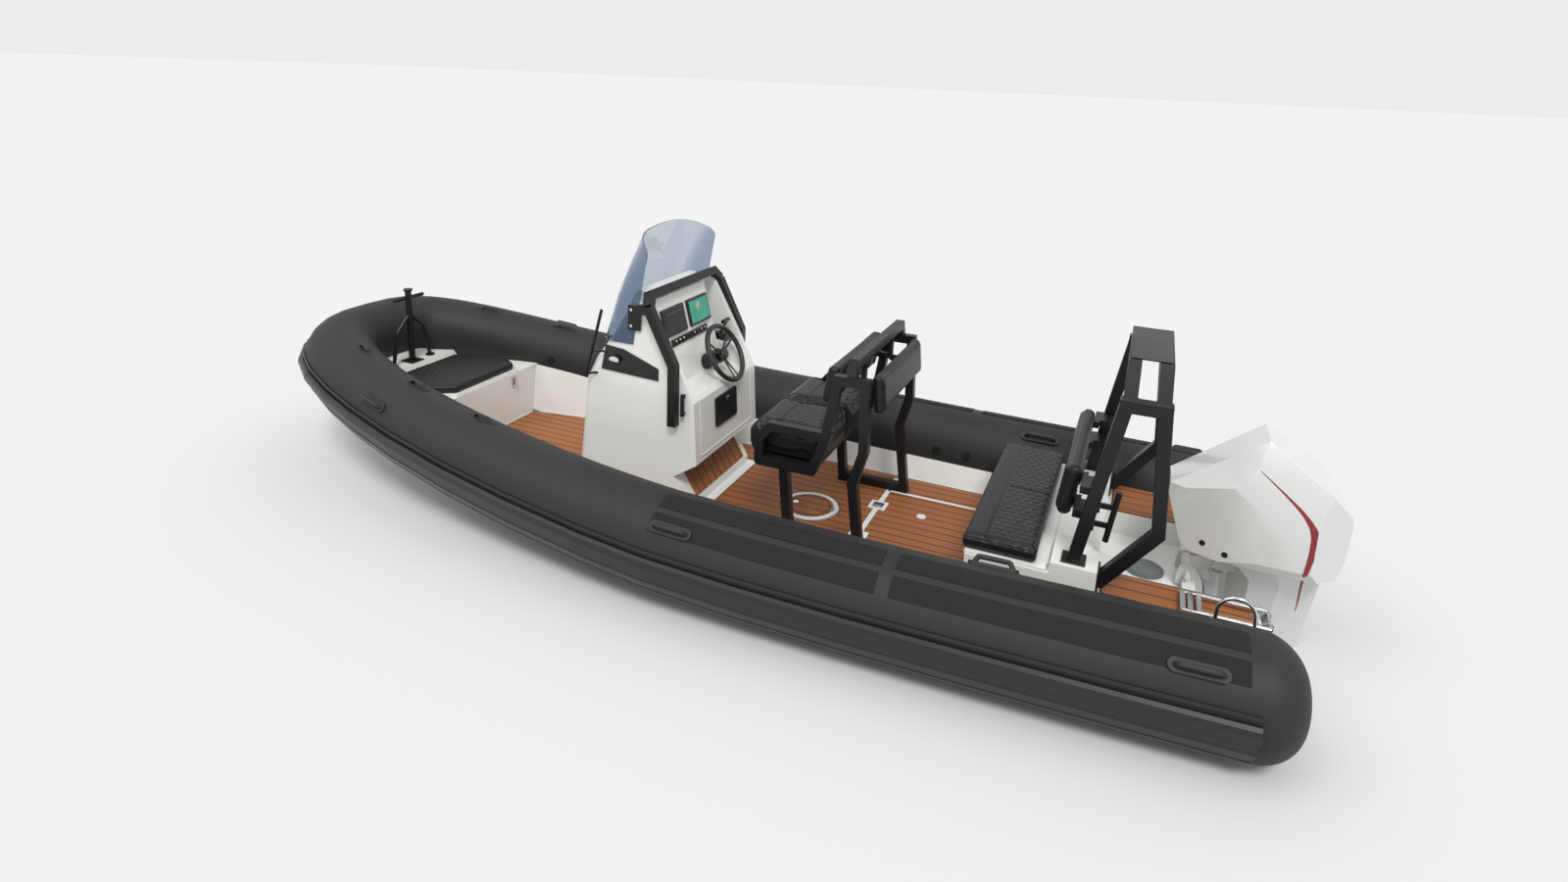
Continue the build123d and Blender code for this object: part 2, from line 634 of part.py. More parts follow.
def side_light():
    return Pos(3170, CONSOLE_Y + SIDE_PANEL_T + 14, 990) * Rot(90, 0, 0) * capsule(74, 34, 14)


def front_rail():
    """Thin handrail up the console's port front corner, on two stand-offs."""
    foot, head = Vector(3352, 452, 862), Vector(3238, 452, 1282)
    rail = rod(foot, head, 9)
    low, high = foot + (head - foot) * 0.05, foot + (head - foot) * 0.4
    rail += rod(low, (3296, CONSOLE_Y - 12, 880), 7)
    rail += rod(high, (3222, CONSOLE_Y - 6, 1020), 7)
    rail -= block(3100, 3400, 300, CONSOLE_Y + GAP, 850, 912)
    return rail - block(3100, 3400, 300, CONSOLE_Y + SIDE_PANEL_T + GAP, 912, 1200)


def side_latch():
    bar = block(2712, 2732, CONSOLE_Y + 18, CONSOLE_Y + 30, 726, 856)
    for z in (738, 844):
        bar += block(2714, 2730, CONSOLE_Y, CONSOLE_Y + 20, z - 8, z + 8)
    return bar


def foot_panel():
    """Teak foot rest on the sloping lower face behind the console."""
    (x0, z0), (x1, z1) = (2790, 330), (2690, 165)
    run = hypot(x1 - x0, z1 - z0)
    panel = Box(6, 640, run - 26)
    lean = degrees(atan2(x0 - x1, z0 - z1))
    return Pos((x0 + x1) / 2, -30, (z0 + z1) / 2) * Rot(0, lean, 0) * Pos(-3, 0, 0) * panel


# ---------------------------------------------------------------- helm seat
FRAME = 50               # square tube of the seat frames
FRAME_Y = 450
SEAT_LOOP = ((2226, 585), (2226, 715), (2165, 790), (1848, 790), (1917, 585))
SEAT_BACK = ((1848, 790), (1800, 1115), (1655, 1115), (1640, 745), (1690, 560), (1628, SOLE_Z + GAP))
SEAT_LEG = ((2080, 585), (2030, SOLE_Z + GAP))
FOOT_BAR_Z = 152
FRAME_FEET = ((2005, 2055), (1603, 1653))
CUSHION_Y = 415
PAN_Z = (560, 598)


def seat_frame():
    y = FRAME_Y
    loop = [(x, y, z) for x, z in SEAT_LOOP]
    frame = square_tube(loop, FRAME)
    frame += square_tube([loop[-1], loop[0]], FRAME)
    frame += square_tube([loop[3], loop[4]], FRAME)
    back = [(x, y, z) for x, z in SEAT_BACK]
    frame += square_tube(back, FRAME)
    frame += square_tube([(x, y, z) for x, z in SEAT_LEG], FRAME)
    half = FRAME / 2
    for x, z in (SEAT_LOOP[0], SEAT_LOOP[4]):
        frame += Pos(x, y, z) * Rot(90, 0, 0) * Cylinder(half, FRAME)
    frame += block(1640, 2040, y - half, y + half, FOOT_BAR_Z - half, FOOT_BAR_Z + half)
    return frame - block(1000, 3000, 0, 900, -200, SOLE_Z + GAP)


def seat_base():
    """Pan and cross members between the two side frames."""
    reach = FRAME_Y - FRAME / 2 - GAP
    base = block(1900, 2250, -reach, reach, PAN_Z[1] - 14, PAN_Z[1])
    for x in (1940, 2205):
        base += block(x - 20, x + 20, -reach, reach, PAN_Z[0], PAN_Z[1])
    return base


def seat_cushion(side):
    y0, y1 = (4, CUSHION_Y) if side > 0 else (-CUSHION_Y, -4)
    outline = [(2330, 628), (2330, 735), (2288, 792), (1880, 800), (1872, 598.4), (2300, 598.4)]
    return side_plate(outline, y0, y1)


PAD_TALL = 225
FRONT_PAD = (1868, 1052, 66, -9)     # middle x and z, thickness, lean
REAR_PAD = (1603, 1042, 60, 6)
PAD_ROUND = 26


def back_pad(place):
    x, z, thick, lean = place
    pad = Box(thick, 2 * CUSHION_Y - 14, PAD_TALL)
    pad = fillet(pad.edges().filter_by(Axis.Y), PAD_ROUND)
    return Pos(x, 0, z) * Rot(0, lean, 0) * pad


def seat_crossbar():
    """The bar over the seat backs, with the plates that carry both pads."""
    y, low, top = FRAME_Y, SEAT_BACK[1][1] + FRAME / 2 + GAP, 1205
    x = (SEAT_BACK[1][0] + SEAT_BACK[2][0]) / 2
    bar = block(x - 25, x + 25, -(y - 20), y - 20, top - 25, top + 25)
    for side in (1, -1):
        foot = [(side * (y + 20), low), (side * (y - 20), top + 25), (side * (y - 70), top + 25),
                (side * (y - 30), low)]
        face = Plane(origin=(x - 25, 0, 0), x_dir=(0, 1, 0), z_dir=(1, 0, 0)) * make_face(
            Polyline(*foot, close=True))
        bar += extrude(face, 50)
    for y in (-250, 250):
        bar += block(x - 12, x + 12, y - 20, y + 20, 1050, top)
        for px, pz, thick, lean in (FRONT_PAD, REAR_PAD):
            side = 1 if px > x else -1
            plate = Box(5, 60, 150)
            back = -side * (thick / 2 + GAP + 2.5)
            bar += Pos(px, y, pz) * Rot(0, lean, 0) * Pos(back, 0, 0) * plate
            near = px + back * cos(radians(lean)) - side * 4
            bar += block(*sorted((x, near)), y - 15, y + 15, pz - 8, pz + 22)
    return bar


# ---------------------------------------------------------------- stern bench
BENCH_LID_X = (676, BENCH_X[1] + 4)
BENCH_LID_T = 12
BENCH_CUSHION_X = (712, 1086)
BENCH_CUSHION_T = 84
BARREL_R = 5             # hinge barrels of the lids
BENCH_HINGE = Vector(BENCH_LID_X[0] - 3, 0, BENCH_Z + GAP + BENCH_LID_T / 2)


def barrel(at, half, radius=BARREL_R):
    """A hinge barrel across the boat."""
    return rod(at - Vector(0, half, 0), at + Vector(0, half, 0), radius)


def bench_lid():
    half = BENCH_Y - 6
    z0 = BENCH_Z + GAP
    return block(*BENCH_LID_X, -half, half, z0, z0 + BENCH_LID_T) + barrel(BENCH_HINGE, half - 60)


def bench_cushion():
    half = BENCH_Y - 4
    z0 = BENCH_Z + GAP + BENCH_LID_T + GAP
    pad = block(*BENCH_CUSHION_X, -half, half, z0, z0 + BENCH_CUSHION_T)
    return fillet(pad.edges().group_by(Axis.Z)[-1], 18)


# ---------------------------------------------------------------- arch
ARCH = 60                # square tube of the arch
ARCH_Y = 560
ARCH_FORE = ((562, BULKHEAD_Z + 8), (429, 1273))
ARCH_AFT = ((452, 392), (223, 697), (268, 1273))
BEAM_Y = 320
BEAM_Z = 1382
BEAM_X = (418, 278)


def arch():
    frame = None
    for side in (1, -1):
        y = side * ARCH_Y
        pieces = [square_tube([(x, y, z) for x, z in ARCH_FORE], ARCH),
                  square_tube([(x, y, z) for x, z in ARCH_AFT], ARCH),
                  block(BEAM_X[1] - 40, ARCH_FORE[1][0] + 30, y - ARCH / 2, y + ARCH / 2,
                        ARCH_FORE[1][1] - 30, ARCH_FORE[1][1] + 30)]
        x0, z0 = ARCH_FORE[0]
        pieces.append(block(x0 - 55, x0 + 55, y - 55, y + 55, BULKHEAD_Z + GAP, BULKHEAD_Z + 10))
        for piece in pieces:
            frame = piece if frame is None else frame + piece
        frame += block(BULKHEAD_X[0] - 10, BULKHEAD_X[0] - GAP, y - 60, y + 60,
                       STERN_DECK_Z + 12, STERN_DECK_Z + 132)
    for x in BEAM_X:
        path = [(x, ARCH_Y, ARCH_FORE[1][1]), (x, BEAM_Y, BEAM_Z), (x, -BEAM_Y, BEAM_Z),
                (x, -ARCH_Y, ARCH_FORE[1][1])]
        frame += square_tube(path, ARCH)
    frame -= block(BULKHEAD_X[0] - GAP, 700, -700, 700, 300, BULKHEAD_Z + GAP)
    return frame


PLATE_T = 6


def arch_plate():
    z = BEAM_Z + ARCH / 2
    plate = block(BEAM_X[1] - 20, BEAM_X[0] + 20, -BEAM_Y + 20, BEAM_Y - 20, z, z + PLATE_T)
    for x in (BEAM_X[1] + 6, BEAM_X[0] - 6):
        for y in (-BEAM_Y + 60, BEAM_Y - 60):
            plate -= Pos(x, y, z) * Cylinder(4.5, 30)
    return plate


ARCH_PAD = ((652, 618), (610, 892))      # lower and upper middle, x and z
ARCH_PAD_T = 76
ARCH_PAD_Y = 450


(PAD_LOW_X, PAD_LOW_Z), (PAD_HIGH_X, PAD_HIGH_Z) = ARCH_PAD
ARCH_PAD_LEAN = degrees(atan2(PAD_HIGH_X - PAD_LOW_X, PAD_HIGH_Z - PAD_LOW_Z))
ARCH_PAD_PLACE = Pos((PAD_LOW_X + PAD_HIGH_X) / 2, 0, (PAD_LOW_Z + PAD_HIGH_Z) / 2) * Rot(
    0, ARCH_PAD_LEAN, 0)


def arch_pad():
    tall = hypot(PAD_HIGH_X - PAD_LOW_X, PAD_HIGH_Z - PAD_LOW_Z) + 20
    pad = Box(ARCH_PAD_T, 2 * ARCH_PAD_Y, tall)
    return ARCH_PAD_PLACE * fillet(pad.edges().filter_by(Axis.Y), 36)


def arch_brackets():
    """Steel that ties the pad to the fore legs."""
    parts = []
    for side in (1, -1):
        inner = side * (ARCH_Y - ARCH / 2 - GAP)
        for along in (-55, 70):
            plate = ARCH_PAD_PLACE * Pos(-ARCH_PAD_T / 2 - GAP - 2.5, side * (ARCH_PAD_Y - 80), along)
            z = plate.position.Z
            leg = ARCH_FORE[0][0] + (ARCH_FORE[1][0] - ARCH_FORE[0][0]) * (z - ARCH_FORE[0][1]) / (
                ARCH_FORE[1][1] - ARCH_FORE[0][1])
            low, high = sorted((inner, side * (ARCH_PAD_Y - 60)))
            arm = block(leg - 15, plate.position.X - 3, low, high, z - 18, z + 18)
            arm += block(plate.position.X - 30, plate.position.X, *sorted(
                (side * (ARCH_PAD_Y - 60), side * (ARCH_PAD_Y - 100))), z - 18, z + 18)
            parts.append(arm + plate * Box(5, 80, 60))
    return Compound(parts)


def light_socket():
    """Upright socket on two arms behind the port fore leg."""
    x, y = 452, ARCH_Y - 90
    post = rod((x - 14, y, 560), (x - 48, y, 815), 14)
    for z, leg in ((640, 537), (735, 521)):
        post += block(x - 30, leg - 34, y - 8, y + 8, z - 12, z + 12)
        post += block(leg - 42, leg - 26, y - 8, ARCH_Y - ARCH / 2 - GAP, z - 12, z + 12)
    return post


# ---------------------------------------------------------------- bow fittings
POST_X = 5161
POST_R = 22
POST_TOP_Z = 1050
CROSSBAR_Z = 994


def bow_post():
    z = FOREDECK_Z + GAP
    post = Pos(POST_X, 0, z + 4) * Box(110, 110, 8)
    post += rod((POST_X, 0, z), (POST_X, 0, POST_TOP_Z), POST_R)
    post += Pos(POST_X, 0, POST_TOP_Z) * Cylinder(30, 14)
    post += rod((POST_X, -132, CROSSBAR_Z), (POST_X, 132, CROSSBAR_Z), 13)
    for side in (1, -1):
        route = [(POST_X, side * 14, 862), (POST_X, side * 116, 762), (POST_X, side * 168, z)]
        post += round_tube(route, 13, 60)
        post += Pos(POST_X, side * 168, z + 4) * Cylinder(32, 8)
    return post - block(5000, 5300, -300, 300, 400, z)


BOW_LID_X = (LOCKER_X + 6, 5018)
BOW_LID = ((LOCKER_X + 6, 300), (4620, 385), (4740, 390), (5018, 245))     # x and half width
BOW_LID_T = 12
BOW_CUSHION_T = 55
BOW_HINGE = Vector(BOW_LID_X[1] + 3, 0, LOCKER_TOP_Z + GAP + BOW_LID_T / 2)


def outline_plate(half, inset, z0, z1):
    points = [(x, y - inset) for x, y in half]
    points[0] = (points[0][0] + inset, points[0][1])
    points[-1] = (points[-1][0] - inset, points[-1][1])
    return plan_plate(points + [(x, -y) for x, y in reversed(points)], z0, z1)


def bow_lid():
    z0 = LOCKER_TOP_Z + GAP
    return outline_plate(BOW_LID, 0, z0, z0 + BOW_LID_T) + barrel(BOW_HINGE, BOW_LID[-1][1] - 30)


def bow_cushion():
    z0 = LOCKER_TOP_Z + GAP + BOW_LID_T + GAP
    pad = outline_plate(BOW_LID, 10, z0, z0 + BOW_CUSHION_T)
    return fillet(pad.edges().group_by(Axis.Z)[-1], 12)


def bow_latch():
    """Latch on the locker's aft face."""
    plate = block(LOCKER_X - 10, LOCKER_X - GAP, -272, -228, 378, 458)
    return plate + block(LOCKER_X - 22, LOCKER_X - 6, -262, -238, 392, 444)


EYE_AT = Vector(5178, 0, 138)
EYE_OUT = Vector(sin(radians(45)), 0, -cos(radians(45)))
EYE_R = 25
EYE_BORE = 10
EYE_T = 14


def bow_eye(hull):
    centre = EYE_AT + EYE_OUT * 34
    ring = Pos(*centre) * Rot(90, 0, 0) * Cylinder(EYE_R, EYE_T)
    tongue = Pos(*(EYE_AT + EYE_OUT * 12)) * Rot(0, 135, 0) * Box(44, EYE_T, 46)
    foot = Pos(*EYE_AT) * Rot(0, 135, 0) * Box(90, 40, 12)
    bore = Pos(*centre) * Rot(90, 0, 0) * Cylinder(EYE_BORE, 60)
    return ring + tongue + foot - hull - bore


# ---------------------------------------------------------------- fittings on the tubes
def on_bow(angle):
    """Section plane of the bow tube part way between two stations."""
    for i in range(len(BOW_ANGLES) - 1):
        if angle <= BOW_ANGLES[i + 1]:
            break
    a, b = BOW_PLANES[i], BOW_PLANES[i + 1]
    share = (angle - BOW_ANGLES[i]) / (BOW_ANGLES[i + 1] - BOW_ANGLES[i])
    origin = a.origin + (b.origin - a.origin) * share
    x_dir = (a.x_dir + (b.x_dir - a.x_dir) * share).normalized()
    z_dir = (b.origin - a.origin).normalized()
    return Plane(origin=origin, x_dir=x_dir - z_dir * x_dir.dot(z_dir), z_dir=z_dir)


def on_skin(plane, angle):
    """Plane lying on the tube: x along the tube, z off the skin."""
    out = plane.x_dir * cos(radians(angle)) + plane.y_dir * sin(radians(angle))
    return Plane(origin=plane.origin + out * tube_radius(plane.origin.X), x_dir=plane.z_dir,
                 z_dir=out)


HANDLE_L = 230


def tube_handle(seat):
    half = HANDLE_L / 2
    base = Pos(0, 0, 2) * extrude(SlotOverall(HANDLE_L, 58), 12, both=True)
    grip = round_tube([(-half + 22, 0, 0), (-half + 44, 0, 40), (half - 44, 0, 40),
                       (half - 22, 0, 0)], 12, 16)
    return seat.location * (base + grip)


def tube_handles(collar):
    seats = [on_skin(on_side(47), 42), on_skin(on_side(884), 124), on_skin(on_side(2371), 44),
             on_skin(on_bow(52), 38)]
    handles = []
    for seat, chamber in zip(seats, (collar[0], collar[0], collar[0], collar[2])):
        handles.append(tube_handle(seat) - chamber)
    return Compound(handles)


def strap_loop(seat):
    """Webbing strap stitched down at both ends."""
    ends = [Pos(x, 0, 0) * Box(44, 30, 7) for x in (-72, 72)]
    strap = None
    path = [(-60, 0, 2), (-40, 0, 20), (40, 0, 20), (60, 0, 2)]
    line = Polyline(*path)
    web = sweep(Plane(origin=path[0], x_dir=(0, 1, 0), z_dir=Vector(*path[1]) - Vector(*path[0]))
                * Rectangle(30, 3), path=line, transition=Transition.RIGHT)
    strap = web
    for end in ends:
        strap += end
    return seat.location * strap


def strap_loops(collar):
    return Compound([strap_loop(on_skin(on_bow(a), 100)) - collar[2] for a in (38, 50, 64)])


def valves(collar):
    discs = []
    for x in (1305, 1504):
        seat = on_skin(on_side(x), 168)
        discs.append(seat.location * Pos(0, 0, 3) * Cylinder(24, 14) - collar[0])
    seat = on_skin(on_bow(50), 172)
    discs.append(seat.location * Pos(0, 0, 3) * Cylinder(24, 14) - collar[2])
    return Compound(discs)


# ---------------------------------------------------------------- stern fittings
LADDER_Y = (420, 575)
LADDER_Z = STERN_DECK_Z + 30
LADDER_PIVOT_X = -274
LADDER_TIP_X = 20
LADDER_R = 13


def ladder():
    y0, y1 = LADDER_Y
    steps = None
    for y in LADDER_Y:
        tube = rod((LADDER_PIVOT_X, y, LADDER_Z), (LADDER_TIP_X, y, LADDER_Z), LADDER_R)
        stem = rod((LADDER_TIP_X - 4, y, LADDER_Z), (LADDER_TIP_X + 62, y, LADDER_Z), 9)
        steps = tube if steps is None else steps + tube
        steps += stem
    for x in (LADDER_TIP_X - 10, LADDER_TIP_X + 26, LADDER_TIP_X + 58):
        steps += block(x - 11, x + 11, y0 - 5, y1 + 5, LADDER_Z - 9, LADDER_Z + 9)
    steps += rod((LADDER_PIVOT_X, y0, LADDER_Z), (LADDER_PIVOT_X, y1, LADDER_Z), 9)
    return steps


def ladder_bracket():
    """Two cheeks on the platform's aft edge that hold the ladder's pivot."""
    cheeks = None
    low, high = LADDER_Y
    for y in (low + 34, high - 34):
        cheek = side_plate([(PLATFORM_X + 50, STERN_DECK_Z + TEAK_T + GAP),
                            (PLATFORM_X + 50, STERN_DECK_Z + TEAK_T + 6),
                            (LADDER_PIVOT_X + 4, LADDER_Z + 14), (LADDER_PIVOT_X - 14, LADDER_Z + 10),
                            (LADDER_PIVOT_X - 14, LADDER_Z - 12), (PLATFORM_X - GAP, 290),
                            (PLATFORM_X - GAP, STERN_DECK_Z + TEAK_T + GAP)], y - 4, y + 4)
        cheek -= rod((LADDER_PIVOT_X, y - 9, LADDER_Z), (LADDER_PIVOT_X, y + 9, LADDER_Z), 9.4)
        cheeks = cheek if cheeks is None else cheeks + cheek
    plate = block(PLATFORM_X - 6, PLATFORM_X - GAP, low + 34, high - 34, 270, 330)
    return cheeks + plate


def tow_hoop():
    y = 648
    z = STERN_DECK_Z + TEAK_T + GAP
    route = [(-40, y, z), (-52, y, 520), (-190, y, 520), (-205, y, z)]
    hoop = round_tube(route, 9, 72)
    for x in (-40, -205):
        hoop += Pos(x, y, z + 3) * Cylinder(20, 6)
    return hoop - block(-300, 50, y - 50, y + 50, z - 40, z)


def inspection_hatch():
    plate = Pos(234, 0, WELL_FLOOR_Z + GAP + 5) * Cylinder(98, 10)
    return plate + Pos(234, 0, WELL_FLOOR_Z + GAP + 12) * Cylinder(84, 8)


# ---------------------------------------------------------------- outboard motor
TILT_AT = Vector(40, 0, 300)         # tilt tube over the transom
STEER_X = -95                        # kingpin axis
PIN_R = 15.5
PLATE_Z = -388                       # cavitation plate
SHAFT_Z = -592                       # propeller shaft
CLAMP_Y = (72, 92)                   # inner and outer face of the clamp cheeks
COWL_HALF = 255
COWL_LOW_Z = 455


def clamp_bracket():
    """Cheeks bolted to the transom, with the tilt tube between their heads."""
    cheek = [(-GAP, -70), (-46, -70), (-58, 120), (-30, 270), (0, 322), (40, 340), (78, 322),
             (88, 280), (88, 226), (TRANSOM_T + GAP, 226), (TRANSOM_T + GAP, TRANSOM_TOP_Z + GAP),
             (-GAP, TRANSOM_TOP_Z + GAP)]
    bracket = side_plate(cheek, *CLAMP_Y) + side_plate(cheek, -CLAMP_Y[1], -CLAMP_Y[0])
    bracket += block(-12, -GAP, -CLAMP_Y[1], CLAMP_Y[1], -70, 60)
    ends = TILT_AT + Vector(0, 150, 0), TILT_AT - Vector(0, 150, 0)
    return bracket + rod(*ends, 14)


def swivel_bracket():
    """Rides on the tilt tube and holds the kingpin."""
    inner = CLAMP_Y[0] - 6
    barrel = Vector(0, CLAMP_Y[0] - 1, 0)
    body = rod(TILT_AT + barrel, TILT_AT - barrel, 28)
    arm = [(TILT_AT.X, 322), (STEER_X, 300), (STEER_X, -140), (STEER_X + 34, -140),
           (STEER_X + 40, 200), (-30, 272), (TILT_AT.X - 20, 275)]
    body += side_plate(arm, -30, 30)
    body += side_plate([(TILT_AT.X, 322), (-60, 312), (-60, 268), (TILT_AT.X - 20, 275)],
                       -inner, inner)
    body += Pos(STEER_X, 0, 80) * Cylinder(30, 440)
    body -= Pos(STEER_X, 0, 80) * Cylinder(PIN_R + 0.5, 460)
    return body - rod(TILT_AT + Vector(0, 90, 0), TILT_AT - Vector(0, 90, 0), 14.5)


def leg_section(z, nose, tail, half):
    """One level of the leg: a point forward and a point aft."""
    length = nose - tail
    outline = [(nose, 0), (nose - 0.22 * length, half), (nose - 0.55 * length, half), (tail, half * 0.3)]
    outline += [(x, -y) for x, y in reversed(outline[1:])]
    return Pos(0, 0, z) * make_face(Polyline(*outline, close=True))


LEG = (                  # z, nose x, tail x, half width
    (COWL_LOW_Z - GAP, -20, -545, 165), (350, -140, -530, 130), (120, -150, -505, 82),
    (-120, -152, -495, 62), (-360, -158, -488, 42), (SHAFT_Z + 30, -170, -470, 26))


def midsection():
    """Kingpin, mid leg, cavitation plate, gearcase and skeg."""
    leg = loft([leg_section(*row) for row in LEG], ruled=True)
    leg -= Pos(STEER_X, 0, 92) * Cylinder(36, 476)
    pin_top, pin_low = 350, -172
    pin = rod((STEER_X, 0, pin_low), (STEER_X, 0, pin_top), PIN_R)
    leg += pin
    leg += block(-250, STEER_X + 24, -45, 45, 330, 364)
    leg += block(-230, STEER_X + 24, -40, 40, -180, -146)
    plate = [(-190, 22), (-260, 92), (-600, 118), (-640, 96), (-655, 0)]
    plate += [(x, -y) for x, y in reversed(plate[:-1])]
    leg += plan_plate(plate, PLATE_Z - 5, PLATE_Z + 5)
    nose, tail = Vector(-150, 0, SHAFT_Z), Vector(-478, 0, SHAFT_Z)
    case = Plane(origin=nose, x_dir=(0, 1, 0), z_dir=(-1, 0, 0))
    rings = ((0, 12), (22, 34), (80, 54), (200, 58), (328, 48))
    leg += loft([case.offset(d) * Circle(r) for d, r in rings], ruled=True)
    leg += side_plate([(-215, SHAFT_Z - 40), (-300, -790), (-372, -802), (-455, SHAFT_Z - 40)], -7, 7)
    leg += side_plate([(-560, PLATE_Z - 2), (-640, PLATE_Z - 2), (-640, PLATE_Z - 14),
                       (-560, PLATE_Z - 14)], -9, 9)
    return leg - rod(tail + Vector(30, 0, 0), tail - Vector(20, 0, 0), PROP_SHAFT_R + GAP)


PROP_R = 184
PROP_SHAFT_R = 10
PROP_X = (-485, -600)


def propeller():
    """Three skewed blades on a hub, turning on the shaft line."""
    hub = rod((PROP_X[0], 0, SHAFT_Z), (PROP_X[1], 0, SHAFT_Z), 46)
    shaft = rod((PROP_X[0] + 34, 0, SHAFT_Z), (PROP_X[0] - 5, 0, SHAFT_Z), PROP_SHAFT_R)
    screw = hub + shaft + rod((PROP_X[1] + 5, 0, SHAFT_Z), (PROP_X[1] - 22, 0, SHAFT_Z), 18)
    middle = (PROP_X[0] + PROP_X[1]) / 2
    sections = []
    for share, chord, pitch in ((38, 96, 62), (90, 150, 44), (140, 150, 33), (PROP_R, 60, 27)):
        plane = Plane(origin=(0, 0, share), x_dir=(1, 0, 0), z_dir=(0, 0, 1))
        sections.append(plane * Rot(0, 0, pitch) * Rectangle(4, chord))
    blade = loft(sections, ruled=True)
    for third in range(3):
        screw += Pos(middle, 0, SHAFT_Z) * Rot(120 * third, 0, 0) * blade
    return screw


COWL_SIDE = (            # outline from the side
    (106, 494), (181, 703), (180, 774), (-210, 1064), (-474, 891), (-585, 770), (-596, 724),
    (-591, 548), (-560, COWL_LOW_Z), (66, COWL_LOW_Z))
COWL_ENDS = (            # outline from aft, half width and height
    (222, COWL_LOW_Z), (250, 500), (COWL_HALF, 738), (200, 950), (120, 1064))
COWL_PLAN = (            # outline from above, x and half width
    (181, 100), (110, 150), (-75, 225), (-239, COWL_HALF), (-440, COWL_HALF), (-596, 130))
COWL_NOSE = (180, 0, 774)                # ends of the facets beside the narrowing top strip
COWL_BROW = (176, 100, 766)
COWL_APEX = (-210, 120, 1064)
COWL_SHOULDER = (-177, 200, 950)
COWL_WALL = 6


def cowl_solid(inset):
    centre_x, centre_z = -190, 740
    shrink = 1 - inset / 250

    def inner(x, y, z):
        return Vector(centre_x + (x - centre_x) * shrink, y * shrink, centre_z + (z - centre_z) * shrink)
    side = [inner(x, 0, z) for x, z in COWL_SIDE]
    body = side_plate([(p.X, p.Z) for p in side], -400, 400)
    ends = [inner(0, y, z) for y, z in COWL_ENDS]
    ends = [(p.Y, p.Z) for p in ends] + [(-p.Y, p.Z) for p in reversed(ends)]
    face = Plane(origin=(-700, 0, 0), x_dir=(0, 1, 0), z_dir=(1, 0, 0)) * make_face(
        Polyline(*ends, close=True))
    body = body & extrude(face, 1100)
    plan = [inner(x, y, 0) for x, y in COWL_PLAN]
    plan = [(p.X, p.Y) for p in plan] + [(p.X, -p.Y) for p in reversed(plan)]
    body = body & plan_plate(plan, 300, 1300)
    for corners in ((COWL_NOSE, COWL_BROW, COWL_APEX), (COWL_BROW, COWL_SHOULDER, COWL_APEX)):
        p, q, r = [inner(*corner) for corner in corners]
        out = (q - p).cross(r - p).normalized()
        if out.Z < 0:
            out = out * -1
        above = extrude(Plane(origin=p, z_dir=out) * Rectangle(2400, 2400), 600)
        body = body - above - mirrored(above)
    return body


def cowl():
    """Faceted engine cover, open below where it sits on the leg."""
    return cowl_solid(0) - cowl_solid(COWL_WALL) - leg_top_opening()


def leg_top_opening():
    return Pos(-230, 0, COWL_LOW_Z) * Box(300, 180, 60)


def powerhead():
    """The engine itself, one plain block on the leg inside the cover."""
    return block(-400, -60, -130, 130, COWL_LOW_Z + 40, 830) + block(
        -370, -90, -85, 85, COWL_LOW_Z, COWL_LOW_Z + 45)


# ---------------------------------------------------------------- all the pieces
os.makedirs("parts", exist_ok=True)


def save(name, shape):
    shape.label = name
    export_step(shape, os.path.join("parts", name + ".step"))


port_tube = collar_side()
bow_tube = collar_bow()
tubes = (port_tube, mirrored(port_tube), bow_tube)
port_strake = strake_side()
port_handles = tube_handles(tubes)
port_pads = wear_pads() - port_handles
console_body = console()
hull, sole, stern, bow = mouldings(tubes)
port_frame = seat_frame()
port_hoop = tow_hoop()
port_straps = strap_loops(tubes)
port_valves = valves(tubes)

